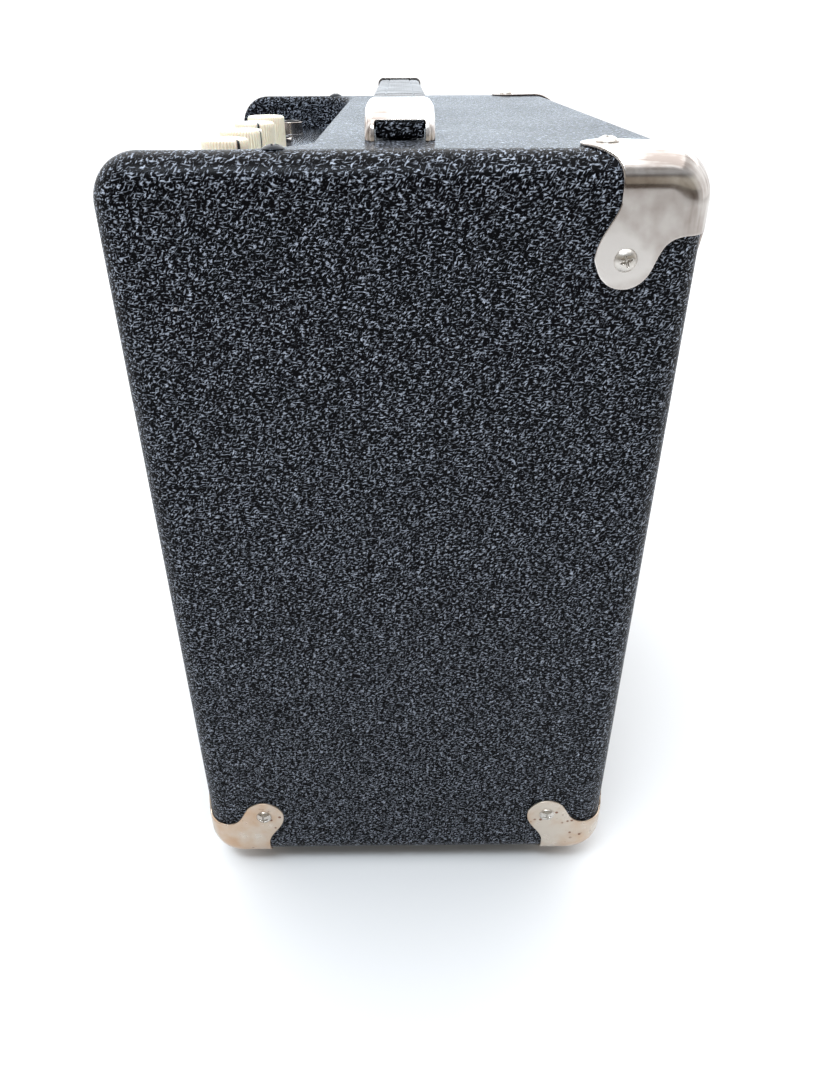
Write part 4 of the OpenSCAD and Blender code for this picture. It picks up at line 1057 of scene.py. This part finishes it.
# %% Lathe shapes of the loudspeaker
def spin(name, profile, centre, axis, count=96, arc=(0.0, 360.0)):
    closed = arc[1] - arc[0] >= 360
    angles = np.radians(np.linspace(*arc, count, endpoint=not closed))
    across = {"Y": ((1, 0, 0), (0, 0, 1), (0, 1, 0)), "Z": ((1, 0, 0), (0, 1, 0), (0, 0, 1))}[axis]
    u, v, w = (np.array(a, float) for a in across)
    points = [np.array(centre) + r * (math.cos(a) * u + math.sin(a) * v) + h * w for r, h in profile
              for a in angles]
    steps = count if closed else count - 1
    flip = axis == "Y"
    faces = []
    for i in range(len(profile) - 1):
        for j in range(steps):
            k = (j + 1) % count
            face = (i * count + j, i * count + k, (i + 1) * count + k, (i + 1) * count + j)
            faces.append(face[::-1] if flip else face)
    return mesh_of(name, points, faces)


paper_finish = Finish("pressed paper", (0.030, 0.028, 0.026), 0.85)
fibres = paper_finish.noise(700.0, 5.0, None, 0.7)
paper_finish.set("Base Color", paper_finish.blend(fibres, (0.020, 0.019, 0.018), (0.050, 0.047, 0.043)))
paper_finish.bump(fibres, 0.0002, 0.7)
doped = Finish("doped cloth", (0.020, 0.019, 0.018), 0.5)
doped.bump(doped.noise(1200.0, 3.0), 0.0001, 0.7)
spider_cloth = Finish("spider cloth", (0.48, 0.30, 0.11), 0.7)
threads = spider_cloth.noise(1500.0, 3.0)
spider_cloth.set("Base Color", spider_cloth.blend(threads, (0.36, 0.21, 0.07), (0.58, 0.38, 0.16)))
spider_cloth.bump(threads, 0.00015, 0.7)

cone_low, cone_high = extent("speaker_cone")
ring_low, ring_high = extent("speaker_surround")
baffle_rear = baffle_high[1]
speaker = (0.0, baffle_rear, (cone_low[2] + cone_high[2]) / 2)
cone_r = (cone_high[0] - cone_low[0]) / 2
coil_low, coil_high = extent("voice_coil")
coil_r = (coil_high[0] - coil_low[0]) / 2
neck = cone_high[1] - baffle_rear
cone_rows = np.linspace(0, 1, 60)
rings = 0.25 * mm * np.sin(cone_rows * 9 * math.tau) * (cone_rows > 0.08) * (cone_rows < 0.62)
cone_line = [(cone_r - (cone_r - coil_r) * t, 1.2 * mm + (neck - 1.9 * mm) * t ** 0.92 + w)
             for t, w in zip(cone_rows, rings)]
paper = 0.65 * mm
cone_line += [(r, h + paper) for r, h in reversed(cone_line)]
link(spin("paper_cone", cone_line + cone_line[:1], speaker, "Y"), "paper_cone", body="cone",
     replaces=["speaker_cone"], material=paper_finish.material)
dust_r, dust_rise = 19 * mm, 7.5 * mm
dust_h = 1.2 * mm + (neck - 1.9 * mm) * ((cone_r - dust_r) / (cone_r - coil_r)) ** 0.92
dust = [(dust_r * math.cos(math.radians(a)), dust_h + 0.1 * mm - dust_rise * math.sin(math.radians(a)))
        for a in range(0, 91, 6)]
link(spin("dust_cap", dust, speaker, "Y"), "dust_cap", body="cone",
     material=doped.material)


def wedges(name, profile, count, node, finish):
    """A ring in wedges, each a separate piece between the basket and the cone."""
    for k in range(count):
        arc = 360 / count * k, 360 / count * (k + 1)
        piece = link(spin(name, profile, speaker, "Y", 7, arc), f"{name}_{k + 1}", body=None,
                     material=finish)
        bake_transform(piece)
        if k == 0:
            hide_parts(node)


roll_outer = (ring_high[0] - ring_low[0]) / 2
roll_r = np.linspace(cone_r + 0.1 * mm, roll_outer - 0.9 * mm, 16)
roll = [(r, 0.9 * mm - 2.2 * mm * math.sin(math.pi * t) - 0.9 * mm * t) for r,
        t in zip(roll_r, np.linspace(0, 1, 16))]
roll.append((roll_outer, 0.1 * mm))
roll += [(r, h + 0.6 * mm) for r, h in reversed(roll)]
wedges("doped_edge", roll + roll[:1], 24, "speaker_surround", doped.material)
spider_low, spider_high = extent("speaker_spider")
spider_out = (spider_high[0] - spider_low[0]) / 2
spider_h = (spider_low[1] + spider_high[1]) / 2 - baffle_rear
wave_r = np.linspace(coil_r + 0.2 * mm, spider_out, 49)
waves = [(r, spider_h - 0.25 * mm + 0.9 * mm * math.sin(t * 5 * math.tau) * min(1, 6 * t, 6 * (1 - t)))
         for r, t in zip(wave_r, np.linspace(0, 1, 49))]
waves += [(r, h + 0.4 * mm) for r, h in reversed(waves)]
wedges("spider", waves + waves[:1], 12, "speaker_spider", spider_cloth.material)

# %% [markdown]
# A valve is a glass bulb with its electrodes inside: a grey plate, two mica discs and a silver
# getter flash at the top. Nine pins leave the flat glass base.

# %% Valves
glass = Finish("valve glass", (1, 1, 1), 0.02, Transmission_Weight=1.0, IOR=1.5)
glass.bump(glass.noise(40.0), 0.00005, 0.3)
anode = plain("anode grey", (0.10, 0.10, 0.105), (0.16, 0.16, 0.165), 0.4, 0.55, 120.0, 0.8)
getter = plain("getter silver", (0.30, 0.29, 0.28), (0.52, 0.51, 0.50), 0.12, 0.3, 90.0, 1.0)
socket_low, socket_high = extent("valve_sockets")
valve_y = (socket_low[1] + socket_high[1]) / 2
glass_top = socket_low[2]
replaced = False
for name, x, width, length in (("preamp", 0.0, 20 * mm, 47 * mm), ("power", 36 * mm, 22 * mm, 62 * mm)):
    r, place = width / 2, (x, valve_y, glass_top)
    bulb = [(0.0, -length)] + [(r * math.sin(math.radians(a)),
                                -length + r - r * math.cos(math.radians(a))) for a in range(10, 90, 8)]
    bulb += [(r, -length + r + 0.5 * mm), (r, -2 * mm), (r - 0.8 * mm, -0.6 * mm),
             (r - 2 * mm, -0.1 * mm), (0.0, -0.1 * mm)]
    bulb_piece = link(spin(name + "_bulb", bulb, place, "Z", 48), name + "_bulb",
                      material=glass.material)
    if not replaced:
        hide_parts("valves")
        replaced = True
    plate_r = r * 0.52
    plate_line = [(0.0, -length * 0.84)] + [(plate_r * f, h) for f, h in (
        (1, -length * 0.84), (1, -length * 0.6), (1.12, -length * 0.59), (1.12, -length * 0.57),
        (1, -length * 0.56),
        (1, -length * 0.2), (0, -length * 0.2))]
    link(spin(name + "_plate", plate_line, place, "Z", 32), name + "_plate", material=anode)
    for level in (0.86, 0.17):
        disc = [(0.0, -length * level - 0.3 * mm), (r - 1.4 * mm, -length * level - 0.3 * mm),
                (r - 1.4 * mm, -length * level + 0.3 * mm), (0.0, -length * level + 0.3 * mm)]
        link(spin(name + "_mica", disc, place, "Z", 32), f"{name}_mica_{int(level * 100)}", material=ceramic)
    flash = [(0.0, -length + 0.5 * mm)] + [((r - 0.5 * mm) * math.sin(math.radians(a)),
             -length + r - (r - 0.5 * mm) * math.cos(math.radians(a))) for a in range(10, 66, 8)]
    link(spin(name + "_getter", flash, place, "Z", 32), name + "_getter", material=getter)

# %% [markdown]
# The pilot lamp is a red jewel, cut in facets, set in a chrome bezel.

# %% Pilot lamp
jewel = Finish("red jewel", (0.55, 0.01, 0.012), 0.08, Transmission_Weight=0.35, IOR=1.52)
jewel.bump(jewel.noise(90.0), 0.00004, 0.4)
lamp_low, lamp_high = extent("pilot_lamp")
lamp_at = ((lamp_low[0] + lamp_high[0]) / 2, knob_y, panel_top)
bezel = [(6.2 * mm, 3.0 * mm), (6.8 * mm, 3.1 * mm), (7.3 * mm, 2.4 * mm), (7.9 * mm, 1.6 * mm),
         (8.0 * mm, 0.0)]
link(spin("lamp_bezel", bezel[::-1], lamp_at, "Z", 64), "lamp_bezel", replaces=["pilot_lamp"],
     material=chrome)
cut = [(6.3 * mm, 2.2 * mm), (6.1 * mm, 3.4 * mm), (4.6 * mm, 5.0 * mm), (2.6 * mm, 5.9 * mm),
       (0.0, 6.0 * mm)]
link(spin("lamp_jewel", cut, lamp_at, "Z", 12), "lamp_jewel", material=jewel.material,
     smooth=False)
# %% [markdown]
# The floor is a large pale sheet. A big soft panel hangs over the amplifier and a larger one over
# the far floor, which keeps the ground white. A low cool panel ahead gives the top its sheen, and a
# small one grazes the near side, so the vinyl's crests stand out. The room behind the camera is
# darker and warmer than the one ahead. That is what the chrome mirrors.

# %% Floor, light and world
def lamp(name, place, aim, size, power, colour=(1, 1, 1)):
    data = bpy.data.lights.new(name, "AREA")
    data.shape, data.size, data.size_y = "RECTANGLE", size[0], size[1]
    data.energy, data.color = power, colour
    light = bpy.data.objects.new(name, data)
    light.location = place
    light.rotation_euler = (Vector(aim) - Vector(place)).to_track_quat("-Z", "Y").to_euler()
    bpy.context.scene.collection.objects.link(light)
    return light


floor_mesh = mesh_of("floor", [(-9, -9, 0), (9, -9, 0), (9, 9, 0), (-9, 9, 0)], [(0, 1, 2, 3)])
floor_finish = Finish("floor", (0.68, 0.68, 0.68), 0.7)
floor_finish.bump(floor_finish.noise(30.0), 0.0004, 0.1)
floor = link(floor_mesh, "floor", body=None, material=floor_finish.material, smooth=False)

bpy.context.scene.view_settings.view_transform = "Standard"
world = bpy.data.worlds.new("studio")
bpy.context.scene.world = world
world.use_nodes = True
sky, sky_links = world.node_tree.nodes, world.node_tree.links
direction = sky.new("ShaderNodeTexCoord").outputs["Generated"]
parts = sky.new("ShaderNodeSeparateXYZ")
sky_links.new(direction, parts.inputs[0])


def sky_node(kind, inputs, **settings):
    node = sky.new(kind)
    for key, value in settings.items():
        setattr(node, key, value)
    for key, value in inputs.items():
        if isinstance(value, bpy.types.NodeSocket):
            sky_links.new(value, node.inputs[key])
        else:
            node.inputs[key].default_value = value
    return node.outputs[0]


behind = sky_node("ShaderNodeMapRange", {"Value": parts.outputs["X"], "From Min": -0.1, "From Max": 0.45})
height = sky_node("ShaderNodeMapRange", {"Value": parts.outputs["Z"], "From Min": -0.05, "From Max": 0.9})
room = sky.new("ShaderNodeValToRGB")
sky_links.new(height, room.inputs[0])
stops = ((0.0, (0.20, 0.15, 0.115)), (0.16, (0.26, 0.215, 0.18)), (0.2, (0.05, 0.045, 0.04)),
         (0.25, (0.80, 0.74, 0.64)),
         (0.5, (1.0, 0.96, 0.86)), (0.6, (0.26, 0.25, 0.25)), (0.68, (0.85, 0.88, 0.92)),
         (1.0, (1.0, 1.0, 1.0)))
ramp = room.color_ramp.elements
while len(ramp) < len(stops):
    ramp.new(0.5)
for element, (place, colour) in zip(ramp, stops):
    element.position, element.color = place, (*colour, 1)
mixed = sky.new("ShaderNodeMix")
mixed.data_type = "RGBA"
sky_links.new(behind, mixed.inputs[0])
mixed.inputs[6].default_value = (2.0, 2.0, 2.02, 1)
sky_links.new(room.outputs[0], mixed.inputs[7])
sky_links.new(mixed.outputs[2], sky["Background"].inputs["Color"])
sky["Background"].inputs["Strength"].default_value = 0.6
lamp("overhead", (-0.3, 0.0, 2.4), (-0.2, 0, 0), (3.6, 3.6), 60, (0.94, 0.97, 1.0))
ahead = lamp("window_ahead", (-2.6, 0.2, 0.74), (0, 0, 0.37), (2.6, 0.5), 9, (0.70, 0.86, 1.0))
ahead.visible_camera = False
lamp("far_overhead", (-6.5, 0, 3.6), (-6.5, 0, 0), (8, 12), 420).visible_camera = False
lamp("window_behind", (0.75, -0.3, 1.55), (0.1, 0, 0.25), (0.7, 0.3), 16, (0.82, 0.91, 1.0))
